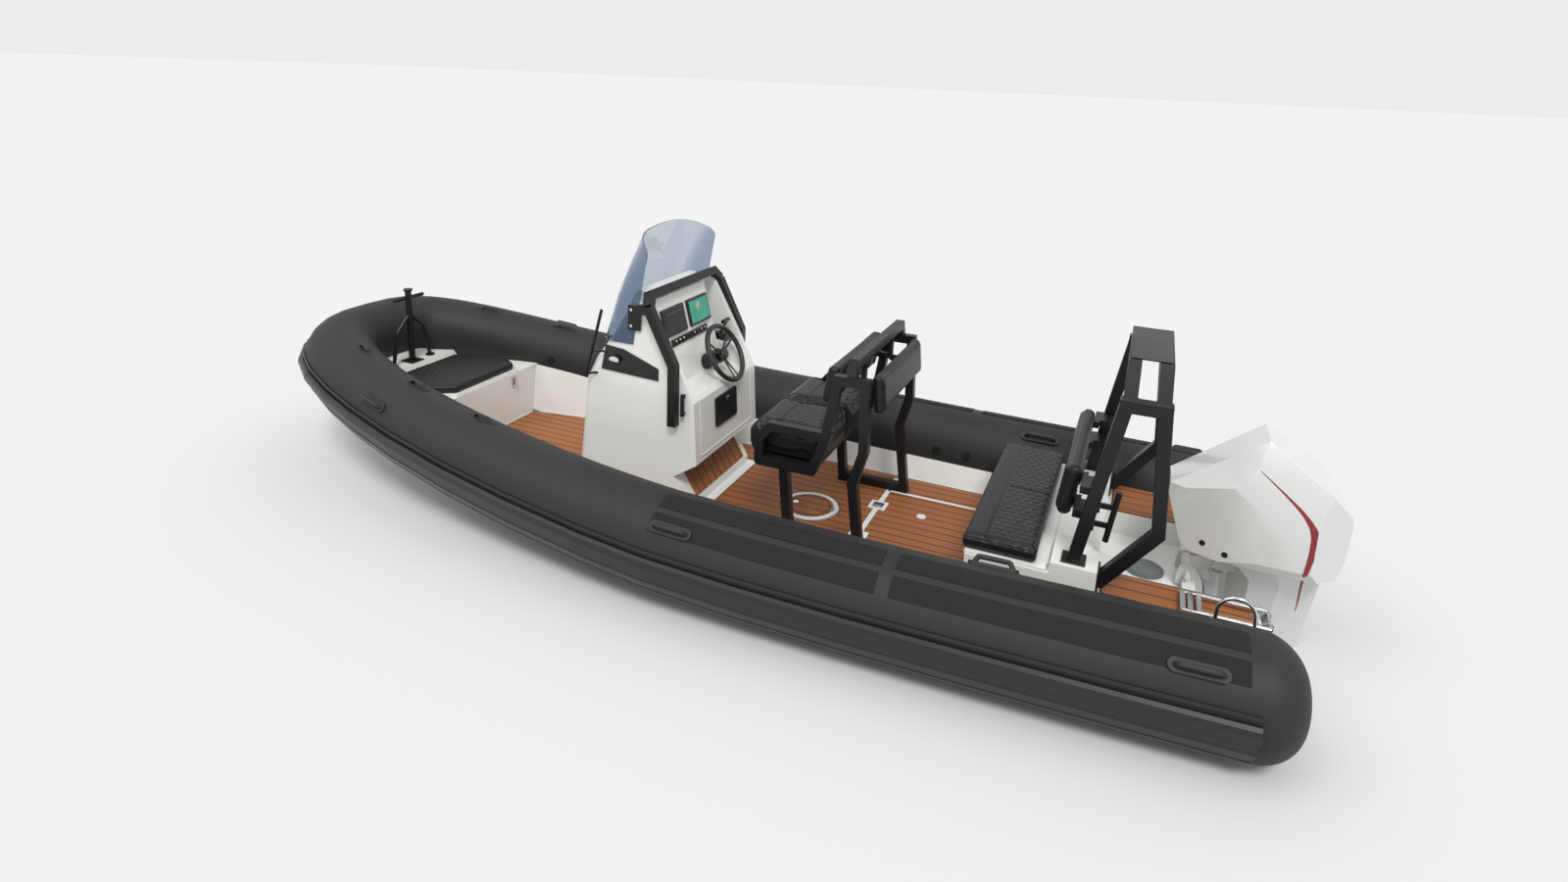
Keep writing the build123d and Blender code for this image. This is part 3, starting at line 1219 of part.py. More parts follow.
PIECES = (               # name of the node, its shape
    ("hull", hull),
    ("sole_moulding", sole),
    ("stern_moulding", stern),
    ("bow_moulding", bow),
    ("tube_port", tubes[0]),
    ("tube_starboard", tubes[1]),
    ("tube_bow", tubes[2]),
    ("strake_port", port_strake),
    ("strake_starboard", mirrored(port_strake)),
    ("strake_bow", strake_bow()),
    ("wear_pads", Compound(port_pads.solids() + mirrored(port_pads).solids())),
    ("tube_handles", Compound(port_handles.solids() + mirrored(port_handles).solids())),
    ("bow_straps", Compound(port_straps.solids() + mirrored(port_straps).solids())),
    ("valves", Compound(port_valves.solids() + mirrored(port_valves).solids())),
    ("teak_sole", teak_sole()),
    ("teak_stern", teak_stern()),
    ("hatch_ring", hatch_ring()),
    ("hatch_lid", hatch_lid()),
    ("console", console_body),
    ("glovebox_door", glovebox_door()),
    ("displays", displays()),
    ("switch_panel", switch_panel()),
    ("helm_pump", helm_pump() - console_body),
    ("steering_wheel", steering_wheel()),
    ("throttle", throttle()),
    ("windscreen", windscreen() - console_body),
    ("console_rail", console_rail() - console_body),
    ("screen_brackets", screen_brackets()),
    ("console_fittings", Compound([side_panel(), side_light()])),
    ("foot_panel", foot_panel()),
    ("front_rail", Compound([front_rail(), side_latch()])),
    ("seat_frames", Compound([port_frame, mirrored(port_frame)])),
    ("seat_base", seat_base()),
    ("seat_cushions", Compound([seat_cushion(1), seat_cushion(-1)])),
    ("seat_back_pads", Compound([back_pad(FRONT_PAD), back_pad(REAR_PAD)])),
    ("seat_crossbar", seat_crossbar()),
    ("bench_lid", bench_lid()),
    ("bench_cushion", bench_cushion()),
    ("arch", arch()),
    ("arch_plate", arch_plate()),
    ("arch_pad", arch_pad()),
    ("arch_brackets", Compound(arch_brackets().solids() + [light_socket()])),
    ("bow_post", bow_post()),
    ("bow_lid", bow_lid()),
    ("bow_cushion", bow_cushion()),
    ("bow_latch", bow_latch()),
    ("bow_eye", bow_eye(hull)),
    ("tow_hoops", Compound([port_hoop, mirrored(port_hoop)])),
    ("ladder", ladder()),
    ("ladder_bracket", ladder_bracket()),
    ("inspection_hatch", inspection_hatch()),
    ("clamp_bracket", clamp_bracket()),
    ("swivel_bracket", swivel_bracket()),
    ("outboard_leg", midsection()),
    ("outboard_cowl", cowl()),
    ("powerhead", powerhead()),
    ("propeller", propeller()),
)

for piece_name, piece in PIECES:
    save(piece_name, piece)
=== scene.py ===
"""Looks of a 6.1 m rigid inflatable boat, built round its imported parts.

Metres, +X to the bow, +Y to port, +Z up, with the origin at the waterline below the transom.
"""
from math import atan2, cos, exp, pi, radians, sin

import bmesh
import bpy
from mathutils import Matrix, Vector
from mathutils.bvhtree import BVHTree


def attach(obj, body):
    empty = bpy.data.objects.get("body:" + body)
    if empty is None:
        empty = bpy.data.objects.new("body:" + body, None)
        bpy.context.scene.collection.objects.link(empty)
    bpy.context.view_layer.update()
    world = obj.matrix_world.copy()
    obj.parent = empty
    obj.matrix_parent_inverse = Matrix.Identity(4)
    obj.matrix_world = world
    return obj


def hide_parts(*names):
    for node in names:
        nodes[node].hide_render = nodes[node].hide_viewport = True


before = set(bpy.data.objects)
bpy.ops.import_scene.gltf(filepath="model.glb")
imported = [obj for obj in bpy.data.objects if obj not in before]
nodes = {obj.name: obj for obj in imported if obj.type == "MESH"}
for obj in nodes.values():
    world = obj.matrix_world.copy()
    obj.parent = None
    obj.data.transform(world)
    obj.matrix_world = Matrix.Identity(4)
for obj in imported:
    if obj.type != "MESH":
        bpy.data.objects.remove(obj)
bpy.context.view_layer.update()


def shown(name, data):
    """A new object, linked to the scene."""
    made = bpy.data.objects.new(name, data)
    bpy.context.scene.collection.objects.link(made)
    return made


def painted(name, **sockets):
    """A new material, its node tree and its shader; sockets sets the shader's inputs."""
    made = bpy.data.materials.new(name)
    made.use_nodes = True
    shader = made.node_tree.nodes["Principled BSDF"]
    for label, value in sockets.items():
        shader.inputs[label.replace("_", " ")].default_value = value
    return made, made.node_tree, shader


# ------------------------------------------------------------------ camera and studio
# The boat lies on a pale studio floor at its waterline, seen from high on the port side.
# One soft lamp high on the port quarter and a fainter one on the port bow; the room is pale.
camera_data = bpy.data.cameras.new("studio_camera")
SENSOR, FOCAL_SHARE = 36, 896 / 1600
camera_data.lens = FOCAL_SHARE * SENSOR
camera_data.sensor_width = SENSOR
camera_data.shift_x = -0.0006
camera_data.shift_y = -0.09125
camera = shown("studio_camera", camera_data)
pitch, yaw, roll = radians(14.198), radians(67.648), radians(2.405)
look = Vector((cos(yaw) * cos(pitch), -sin(yaw) * cos(pitch), -sin(pitch)))
level_right = look.cross(Vector((0, 0, 1))).normalized()
level_up = level_right.cross(look)
right = level_right * cos(roll) + level_up * sin(roll)
up = level_up * cos(roll) - level_right * sin(roll)
turn = Matrix((right, up, -look)).transposed().to_4x4()
CAMERA_AT = (0.451, 4.502, 2.612)
camera.matrix_world = Matrix.Translation(CAMERA_AT) @ turn
bpy.context.scene.camera = camera

FLOOR_HALF = 300
floor_mesh = bpy.data.meshes.new("studio_floor")
floor_bm = bmesh.new()
bmesh.ops.create_grid(floor_bm, x_segments=1, y_segments=1, size=FLOOR_HALF)
floor_bm.to_mesh(floor_mesh)
floor_bm.free()
floor = shown("studio_floor", floor_mesh)
floor_paint, _, _ = painted("studio_floor", Base_Color=(0.585, 0.587, 0.59, 1), Roughness=1.0,
                            Specular_IOR_Level=0.0)
floor_mesh.materials.append(floor_paint)

room = bpy.data.worlds.new("studio_room")
room.use_nodes = True
room.node_tree.nodes["Background"].inputs["Color"].default_value = (1, 1, 1, 1)
room.node_tree.nodes["Background"].inputs["Strength"].default_value = 0.84
bpy.context.scene.world = room
bpy.context.scene.view_settings.view_transform = "Standard"

for name, heading, size, power in (
        ("port_quarter", (0.50, -0.90, -1.4), 18, 2.0), ("port_bow", (-0.7, -0.6, -1.2), 40, 0.7)):
    lamp_data = bpy.data.lights.new(name, "SUN")
    lamp_data.angle = radians(size)
    lamp_data.energy = power
    lamp = shown(name, lamp_data)
    lamp.rotation_euler = Vector(heading).to_track_quat("-Z", "Y").to_euler()


# ------------------------------------------------------------------ collar chambers
# Three air chambers of coated woven fabric, glued up from panels and blown tight.  They are matt
# charcoal, with an orange-peel grain you only see close to, and a faint bloom of dust.
def value_group(name, inputs, outputs):
    """A shader node group with named float or colour sockets."""
    group = bpy.data.node_groups.new(name, "ShaderNodeTree")
    for label, kind, start in inputs:
        socket = group.interface.new_socket(label, in_out="INPUT", socket_type="NodeSocket" + kind)
        socket.default_value = start
    for label, kind in outputs:
        group.interface.new_socket(label, in_out="OUTPUT", socket_type="NodeSocket" + kind)
    return group, group.nodes.new("NodeGroupInput"), group.nodes.new("NodeGroupOutput")


def math_node(tree, operation, a, b=0.0, c=0.0):
    """The outcome of one sum; a, b and c are numbers or sockets."""
    node = tree.nodes.new("ShaderNodeMath")
    node.operation = operation
    for i, value in enumerate((a, b, c)):
        if isinstance(value, (int, float)):
            node.inputs[i].default_value = value
        else:
            tree.links.new(value, node.inputs[i])
    return node.outputs[0]


def places(tree):
    """Sockets for X, Y and Z of the point being shaded, on the piece's own axes."""
    xyz = tree.nodes.new("ShaderNodeSeparateXYZ")
    tree.links.new(tree.nodes.new("ShaderNodeTexCoord").outputs["Object"], xyz.inputs[0])
    return xyz.outputs


def grouped(tree, group, **inputs):
    """A group's node in a material, with its inputs set."""
    node = tree.nodes.new("ShaderNodeGroup")
    node.node_tree = group
    for label, value in inputs.items():
        node.inputs[label].default_value = value
    return node


def raised(tree, height, strength, distance):
    """Relief in a material's shading, from a socket that gives the height."""
    relief = tree.nodes.new("ShaderNodeBump")
    relief.inputs["Strength"].default_value = strength
    relief.inputs["Distance"].default_value = distance
    tree.links.new(height, relief.inputs["Height"])
    tree.links.new(relief.outputs["Normal"], tree.nodes["Principled BSDF"].inputs["Normal"])
    return relief


def blended(tree, factor, first, second):
    """One colour going over to another; each is a colour or a socket."""
    mix = tree.nodes.new("ShaderNodeMix")
    mix.data_type = "RGBA"
    tree.links.new(factor, mix.inputs[0])
    for socket, value in ((mix.inputs[6], first), (mix.inputs[7], second)):
        if isinstance(value, (tuple, list)):
            socket.default_value = (*value[:3], 1)
        else:
            tree.links.new(value, socket)
    return mix.outputs[2]


grain_group, grain_in, grain_out = value_group(
    "coated_grain", [("Scale", "Float", 400.0), ("Blotch", "Float", 3.0)],
    [("Height", "Float"), ("Blotches", "Float")])
grain_at = grain_group.nodes.new("ShaderNodeTexCoord")
for label, source, detail in (("Height", "Scale", 2.0), ("Blotches", "Blotch", 4.0)):
    noise = grain_group.nodes.new("ShaderNodeTexNoise")
    noise.inputs["Detail"].default_value = detail
    grain_group.links.new(grain_at.outputs["Object"], noise.inputs["Vector"])
    grain_group.links.new(grain_in.outputs[source], noise.inputs["Scale"])
    grain_group.links.new(noise.outputs["Fac"], grain_out.inputs[label])


def grained(name, colour, roughness, scale=400.0, bump=0.1, depth=0.0006, blotch=3.0, spread=0.12,
            **sockets):
    """A material with a fine grain in its relief and slow blotches in its colour and gloss."""
    made, tree, shader = painted(name, **sockets)
    group = grouped(tree, grain_group, Scale=scale, Blotch=blotch)
    colours = blended(tree, group.outputs["Blotches"], [c * (1 - spread) for c in colour],
                      [min(1, c * (1 + spread)) for c in colour])
    tree.links.new(colours, shader.inputs["Base Color"])
    rough = math_node(tree, "MULTIPLY_ADD", group.outputs["Blotches"], 0.12, roughness - 0.06)
    tree.links.new(rough, shader.inputs["Roughness"])
    raised(tree, group.outputs["Height"], bump, depth).name = "relief"
    return made


def dress(material, *names):
    """Puts a material on CAD nodes that stay as they are."""
    for name in names:
        nodes[name].data.materials.clear()
        nodes[name].data.materials.append(material)


def piece(name, bm, *materials, body="boat", smooth=30, replaces=(), slot=None, flat=False):
    """Links a finished bmesh as a piece that rides on a body."""
    mesh = bpy.data.meshes.new(name)
    bm.to_mesh(mesh)
    bm.free()
    for material in materials:
        mesh.materials.append(material)
    made = shown(name, mesh)
    mesh.shade_smooth()
    if smooth < 180:
        mesh.set_sharp_from_angle(angle=radians(smooth))
    if flat:
        made.modifiers.new("flat_faces", "WEIGHTED_NORMAL").keep_sharp = True
    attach(made, body)
    if replaces:
        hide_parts(*replaces)
    return made


AFT_TIP, BOW_TIP, BOW_START = -0.380, 5.496, 2.491
TUBE_R, BOW_R, TAPER_X = 0.258, 0.224, 2.120
TUBE_Y, TOE_IN, TUBE_Z, SHEER, SHEER_X = 0.988, 0.067, 0.272, 0.410, 1.120
END_ROUND = 0.190


def tube_radius(x):
    """Radius of the collar, which narrows from TAPER_X to the bow."""
    return TUBE_R - (TUBE_R - BOW_R) * max(0.0, x - TAPER_X) / (BOW_TIP - TAPER_X)


def tube_height(x):
    """Height of the tubes' middle, which rises to the bow."""
    return TUBE_Z + SHEER * (max(0.0, x - SHEER_X) / (BOW_TIP - SHEER_X)) ** 2.38


def side_point(x):
    """Middle of the port tube abreast of x, drawn in a little towards the stern."""
    reach = (BOW_START - x) / (BOW_START - AFT_TIP)
    return Vector((x, TUBE_Y - TOE_IN * reach ** 2, tube_height(x)))


def bow_point(angle):
    """Middle of the bow tube, from 0 degrees to port round to 180 to starboard."""
    a = radians(angle)
    x = BOW_START + (BOW_TIP - BOW_START) * abs(sin(a)) ** (2 / 1.2)
    y = TUBE_Y * abs(cos(a)) ** (2 / 3.35)
    return Vector((x, y if angle <= 90 else -y, tube_height(x)))


def stations(points):
    """Frames along a run of points: local X outboard, Y up and Z along the run."""
    frames = []
    for i, point in enumerate(points):
        along = (points[min(i + 1, len(points) - 1)] - points[max(i - 1, 0)]).normalized()
        out = -along.cross(Vector((0, 0, 1))).normalized()
        frame_up = along.cross(out)
        place = Matrix((out, frame_up, along)).transposed().to_4x4()
        frames.append(Matrix.Translation(point) @ place)
    return frames


def ring_edges(made):
    """The edges among the vertices that an operator has just made."""
    verts = made["verts"]
    known = set(verts)
    return [e for e in {e for v in verts for e in v.link_edges}
            if all(v in known for v in e.verts)]


def tube_skin(rings, cap_first=False):
    """A skin bridged through circles, each given as (frame, radius)."""
    bm = bmesh.new()
    last = None
    for i, (place, radius) in enumerate(rings):
        made = bmesh.ops.create_circle(bm, segments=64, radius=radius, matrix=place,
                                       cap_ends=cap_first and i == 0)
        edges = ring_edges(made)
        if last:
            bmesh.ops.bridge_loops(bm, edges=last + edges)
        last = edges
    bmesh.ops.recalc_face_normals(bm, faces=bm.faces)
    return bm


coated_fabric = grained("charcoal_coated_fabric", (0.021, 0.0212, 0.022), 0.55, scale=700,
                        bump=0.12, blotch=1.6, spread=0.1, Specular_IOR_Level=0.25)

AFT_RUN, FORE_FROM, FORE_RUN = 0.68, 0.3, 2.191
side_xs = [AFT_TIP + AFT_RUN * i / 4 for i in range(5)]
side_xs += [FORE_FROM + FORE_RUN * i / 12 for i in range(1, 13)]
straight = stations([side_point(x) for x in side_xs] + [bow_point(6)])[:-1]
end_frame = straight[0]
rings = []
for i in range(1, 13):
    sweep = pi / 2 * i / 12
    depth = END_ROUND * (1 - cos(sweep))
    rings.append((end_frame @ Matrix.Translation((0, 0, depth)),
                  TUBE_R - END_ROUND + END_ROUND * sin(sweep)))
rings += [(place, tube_radius(place.translation.x)) for place in straight[2:]]
for side, name in ((1, "tube_port"), (-1, "tube_starboard")):
    bm = tube_skin(rings, cap_first=True)
    if side < 0:
        bmesh.ops.scale(bm, verts=bm.verts, vec=(1, -1, 1))
        bmesh.ops.reverse_faces(bm, faces=bm.faces)
    piece(name + "_skin", bm, coated_fabric, smooth=180, replaces=[name], slot="collar")
before_bow = side_point(2.45)
after_bow = Vector((before_bow.x, -before_bow.y, before_bow.z))
bow_frames = stations([before_bow] + [bow_point(a) for a in range(0, 181, 3)]
                      + [after_bow])[1:-1]
bm = tube_skin([(place, tube_radius(place.translation.x)) for place in bow_frames])
piece("tube_bow_skin", bm, coated_fabric, smooth=180, replaces=["tube_bow"], slot="collar")


# ------------------------------------------------------------------ rubbing strake and wear pads
# An extruded black rubber section is glued round the collar's widest line: a fat D over a ribbed
# flange.  Ribbed non-slip rubber pads lie on the tubes where people step aboard.
RIB_PITCH = 0.009
strake_rubber = grained("black_strake_rubber", (0.008, 0.008, 0.009), 0.33, scale=500, bump=0.08)
dress(strake_rubber, "strake_port", "strake_starboard", "strake_bow")

rib_group, rib_in, rib_out = value_group("pad_ribs", [("Pitch", "Float", RIB_PITCH)],
                                         [("Height", "Float")])
rib_xyz = places(rib_group)
off_y = math_node(rib_group, "SUBTRACT", math_node(rib_group, "ABSOLUTE", rib_xyz["Y"]), TUBE_Y)
off_z = math_node(rib_group, "SUBTRACT", rib_xyz["Z"], TUBE_Z)
round_way = math_node(rib_group, "MULTIPLY", math_node(rib_group, "ARCTAN2", off_z, off_y), TUBE_R)
rib_wave = math_node(rib_group, "PINGPONG", math_node(rib_group, "DIVIDE", round_way,
                                                     rib_in.outputs["Pitch"]), 0.5)
rib_group.links.new(math_node(rib_group, "SMOOTH_MIN", math_node(
    rib_group, "MULTIPLY", rib_wave, 4.0), 1.0, 0.3), rib_out.inputs["Height"])

pad_rubber = grained("ribbed_pad_rubber", (0.0115, 0.0115, 0.012), 0.7, scale=300, bump=0.2,
                     Specular_IOR_Level=0.25)
tree = pad_rubber.node_tree
ribs = grouped(tree, rib_group, Pitch=RIB_PITCH)
relief = raised(tree, ribs.outputs["Height"], 0.9, 0.002)
tree.links.new(tree.nodes["relief"].outputs["Normal"], relief.inputs["Normal"])
dress(pad_rubber, "wear_pads")


# ------------------------------------------------------------------ moulded hull and decks
# Hull, sole, stern and bow are glass fibre laid up in polished moulds, with a glossy white gelcoat
# whose edges the mould leaves a few millimetres round.
def copied(name):
    """A merged copy of a CAD node, with its flat faces made whole."""
    bm = bmesh.new()
    bm.from_mesh(nodes[name].data)
    bmesh.ops.remove_doubles(bm, verts=bm.verts, dist=0.00002)
    bmesh.ops.dissolve_limit(bm, angle_limit=radians(0.6), verts=bm.verts, edges=bm.edges)
    return bm


def bevelled(bm, edges, width, segments, **more):
    """Rounds some edges of a bmesh."""
    bmesh.ops.bevel(bm, geom=edges, offset=width, segments=segments, profile=0.5, affect="EDGES",
                    material=-1, **more)


def softened(name, material, width, body="boat", slot=None, angle=38):
    """A CAD node's copy with its sharp edges rounded, in place of the node."""
    bm = copied(name)
    edges = [e for e in bm.edges if e.is_manifold and e.calc_face_angle(0) > radians(angle)]
    bevelled(bm, edges, width, 3, offset_type="OFFSET", clamp_overlap=True)
    return piece(name + "_finished", bm, material, body=body, smooth=38, replaces=[name],
                 slot=slot, flat=True)


gelcoat = grained("white_gelcoat", (0.70, 0.705, 0.675), 0.22, scale=60, bump=0.02, spread=0.02,
                  Coat_Weight=0.4, Coat_Roughness=0.08)
dress(gelcoat, "hull", "sole_moulding", "hatch_ring")
for name, width, body in (("stern_moulding", 0.008, "boat"), ("bow_moulding", 0.008, "boat"),
                          ("bench_lid", 0.004, "bench"), ("bow_lid", 0.004, "bow_seat")):
    softened(name, gelcoat, width, body=body, slot="gelcoat")

# ------------------------------------------------------------------ teak decking
# Boards of teak, 70 mm wide and wider at the stern, are glued down side by side with black caulking
# in the seams and a black line round each panel, inside a margin of bare white deck.
BOARD, STERN_BOARD = 0.070, 0.086
SEAM = 0.008
plank_group, plank_in, plank_out = value_group(
    "planks", [("Board", "Float", BOARD), ("Seam", "Float", SEAM)],
    [("Seams", "Float"), ("Tone", "Float"), ("Fibre", "Float")])
plank_at = plank_group.nodes.new("ShaderNodeTexCoord")
rows = math_node(plank_group, "ADD", math_node(plank_group, "DIVIDE", places(plank_group)["Y"],
                                               plank_in.outputs["Board"]), 0.5)
in_row = math_node(plank_group, "MULTIPLY", math_node(plank_group, "PINGPONG", rows, 0.5),
                   plank_in.outputs["Board"])
plank_group.links.new(math_node(plank_group, "LESS_THAN", in_row, math_node(
    plank_group, "MULTIPLY", plank_in.outputs["Seam"], 0.5)), plank_out.inputs["Seams"])
tone = plank_group.nodes.new("ShaderNodeTexWhiteNoise")
tone.noise_dimensions = "1D"
plank_group.links.new(math_node(plank_group, "FLOOR", rows), tone.inputs["W"])
plank_group.links.new(tone.outputs["Value"], plank_out.inputs["Tone"])
stretch = plank_group.nodes.new("ShaderNodeMapping")
stretch.inputs["Scale"].default_value = (4, 160, 160)
plank_group.links.new(plank_at.outputs["Object"], stretch.inputs["Vector"])
fibre = plank_group.nodes.new("ShaderNodeTexNoise")
fibre.inputs["Scale"].default_value = 1.6
fibre.inputs["Detail"].default_value = 5
plank_group.links.new(stretch.outputs["Vector"], fibre.inputs["Vector"])
plank_group.links.new(fibre.outputs["Fac"], plank_out.inputs["Fibre"])


def boarded(name, board):
    """Teak laid fore and aft in boards of one width."""
    made, tree, shader = painted(name)
    planks = grouped(tree, plank_group, Board=board, Seam=SEAM)
    colour = blended(tree, planks.outputs["Fibre"], (0.165, 0.052, 0.012), (0.42, 0.146, 0.040))
    colour = blended(tree, math_node(tree, "MULTIPLY", planks.outputs["Tone"], 0.4), colour,
                     (0.22, 0.070, 0.018))
    colour = blended(tree, planks.outputs["Seams"], colour, (0.010, 0.009, 0.008))
    tree.links.new(colour, shader.inputs["Base Color"])
    tree.links.new(math_node(tree, "MULTIPLY_ADD", planks.outputs["Fibre"], 0.2, 0.45),
                   shader.inputs["Roughness"])
    raised(tree, math_node(tree, "SUBTRACT", planks.outputs["Fibre"], planks.outputs["Seams"]),
           0.35, 0.0008)
    return made


teak = boarded("teak_boards", BOARD)
wide_teak = boarded("wide_teak_boards", STERN_BOARD)
caulk = grained("black_caulking", (0.012, 0.012, 0.012), 0.5, scale=300, bump=0.1)


def caulked(name, line):
    """A teak panel's copy with a black line let in round its upper face."""
    bm = copied(name)
    tops = [f for f in bm.faces if f.normal.z > 0.9 and f.calc_area() > 0.0001]
    ring = bmesh.ops.inset_region(bm, faces=tops, thickness=line, use_even_offset=True)
    for face in ring["faces"]:
        face.material_index = 1
    return bm


for name in ("teak_sole", "teak_stern", "foot_panel"):
    bm = caulked(name, 0.007)
    if name == "foot_panel":
        sharp = [e for e in bm.edges if e.is_manifold and e.calc_face_angle(0) > 1]
        bevelled(bm, sharp, 0.001, 1)
    piece(name + "_boards", bm, wide_teak if name == "teak_stern" else teak, caulk,
          replaces=[name], slot="teak")

# ------------------------------------------------------------------ deck hatch and floor fittings
# A round teak-faced lid lifts out of a white ring in the sole, by a turning chrome latch.  White
# strips part the boards over the tank hatch, which has two square lifting latches.
HATCH_X, HATCH_TOP, LID_BOARDS_R = 2.085, 0.1325, 0.139
chrome = grained("bright_chrome", (0.70, 0.71, 0.72), 0.1, scale=200, bump=0.01, Metallic=1.0)
white_plastic = grained("white_plastic", (0.68, 0.69, 0.68), 0.35, scale=200, bump=0.03)
bm = copied("hatch_lid")
for face in bm.faces:
    middle = face.calc_center_median()
    from_middle = (middle.xy - Vector((HATCH_X, 0))).length
    if from_middle > LID_BOARDS_R or middle.z > HATCH_TOP + 0.0006:
        face.material_index = 2
piece("hatch_lid_boards", bm, teak, caulk, chrome, body="hatch", replaces=["hatch_lid"],
      slot="teak")


def ring_piece(bm, centre, inner, outer, low, high):
    """A flat ring spun round an upright line."""
    verts = [bm.verts.new((centre[0] + r, centre[1], z)) for r, z in (
        (inner, low), (outer, low), (outer, high - 0.001), (outer - 0.0015, high),
        (inner + 0.0015, high), (inner, high - 0.001))]
    edges = [bm.edges.new((verts[i], verts[(i + 1) % 6])) for i in range(6)]
    bmesh.ops.spin(bm, geom=verts + edges, cent=(centre[0], centre[1], 0), axis=(0, 0, 1),
                   dvec=(0, 0, 0), angle=2 * pi, steps=64, use_merge=True, use_duplicate=False)
    bmesh.ops.remove_doubles(bm, verts=bm.verts, dist=0.00001)
    bmesh.ops.recalc_face_normals(bm, faces=bm.faces)


bm = bmesh.new()
ring_piece(bm, (HATCH_X, 0), 0.118, 0.124, HATCH_TOP - 0.001, HATCH_TOP + 0.0012)
piece("hatch_lid_line", bm, caulk, body="hatch", slot="teak")


def block(bm, place, size, bevel, segments=2):
    """A block in a frame of its own, with its edges bevelled."""
    made = bmesh.ops.create_cube(bm, size=1, matrix=place @ Matrix.Diagonal((*size, 1)))
    bevelled(bm, list({e for v in made["verts"] for e in v.link_edges}), bevel, segments)


def slab(bm, centre, size, lean=0, bevel=0.002, segments=2):
    """A bevelled block, leaning about Y by some degrees."""
    place = Matrix.Translation(centre)
    if lean:
        place = place @ Matrix.Rotation(radians(lean), 4, "Y")
    block(bm, place, size, bevel, segments)


def disc(bm, centre, radius, height, axis="Z", bevel=0.0015):
    """A short round block with a bevelled rim; centre is the middle of its foot."""
    turned = Matrix.Rotation(-pi / 2, 4, "X") if axis == "Y" else Matrix()
    made = bmesh.ops.create_cone(
        bm, cap_ends=True, segments=32, radius1=radius, radius2=radius, depth=height,
        matrix=Matrix.Translation(centre) @ turned @ Matrix.Translation((0, 0, height / 2)))
    rims = [e for e in {e for v in made["verts"] for e in v.link_edges}
            if e.calc_face_angle(0) > 1]
    bevelled(bm, rims, bevel, 2)


DECK, STRIP_X = 0.126, 1.720
bm = bmesh.new()
slab(bm, (STRIP_X, 0, DECK + 0.0004), (0.030, 1.21, 0.0016), bevel=0.0003, segments=1)
slab(bm, (1.400, -0.42, DECK + 0.0004), (0.64, 0.022, 0.0016), bevel=0.0003, segments=1)
for y in (-0.20, 0.20):
    slab(bm, (STRIP_X, y, DECK + 0.001), (0.105, 0.105, 0.003), bevel=0.001)
for x, y in ((1.30, 0.47), (1.45, -0.18), (2.46, 0.38)):
    disc(bm, (x, y, DECK - 0.0005), 0.028, 0.003, bevel=0.001)
piece("deck_strips", bm, white_plastic, slot="gelcoat", flat=True)
bm = bmesh.new()
for y in (-0.20, 0.20):
    slab(bm, (STRIP_X, y, DECK + 0.0028), (0.064, 0.064, 0.003), bevel=0.001)
    slab(bm, (1.726, y, DECK + 0.0048), (0.040, 0.034, 0.003), bevel=0.001)
piece("deck_latches", bm, chrome, slot="stainless", flat=True)

# ------------------------------------------------------------------ steering console
# A white glass-fibre console bolted to the sole, with moulded round corners.  The dash is let in
# between its cheeks; a hinged black glovebox and a black side panel are set into it, and a raised
# bead borders its aft face.
AFT_LEAN = 3.4
softened("console", gelcoat, 0.012, slot="gelcoat", angle=20)
black_moulding = grained("black_moulding", (0.006, 0.006, 0.007), 0.3, scale=800, bump=0.08)
softened("glovebox_door", black_moulding, 0.003, body="glovebox", slot="black_plastic")
softened("console_fittings", black_moulding, 0.002, slot="black_plastic")
bm = bmesh.new()
slab(bm, (2.6395, 0.02, 0.722), (0.006, 0.034, 0.020), lean=AFT_LEAN, bevel=0.002)
piece("glovebox_latch", bm, chrome, body="glovebox", slot="stainless")
bm = bmesh.new()
for y in (-0.335, 0.335):
    slab(bm, (2.6515, y, 0.630), (0.006, 0.009, 0.330), lean=AFT_LEAN, bevel=0.0025)
slab(bm, (2.6418, 0, 0.466), (0.006, 0.661, 0.009), lean=AFT_LEAN, bevel=0.0025)
piece("console_border", bm, gelcoat, slot="gelcoat", flat=True)
bm = bmesh.new()
disc(bm, (0, 0, 0), 0.020, 0.004, axis="Y", bevel=0.0015)
bmesh.ops.transform(bm, verts=bm.verts, matrix=Matrix.Translation((3.170, 0.4330, 0.990))
                    @ Matrix.Diagonal((1.65, 1, 1, 1)))
piece("side_light_lens", bm, chrome, slot="stainless")

# ------------------------------------------------------------------ dash instruments
# Two glass-fronted displays in black cases stand on the dash over a strip of rocker switches.
# One shows gauges with a red line, the other a sea chart in blue-greens with a sand patch.
DASH_FOOT, DASH_TOP = Vector((2.893, 0, 1.045)), Vector((2.988, 0, 1.405))
DASH_LEAN = atan2(DASH_TOP.x - DASH_FOOT.x, DASH_TOP.z - DASH_FOOT.z)


def on_dash(y, z, off):
    """Frame on the dash: local X out of it, Z up it."""
    x = DASH_FOOT.x + (DASH_TOP.x - DASH_FOOT.x) * (z - DASH_FOOT.z) / (DASH_TOP.z - DASH_FOOT.z)
    return Matrix.Translation((x, y, z)) @ Matrix.Rotation(DASH_LEAN, 4, "Y") @ Matrix.Translation(
        (-off, 0, 0))


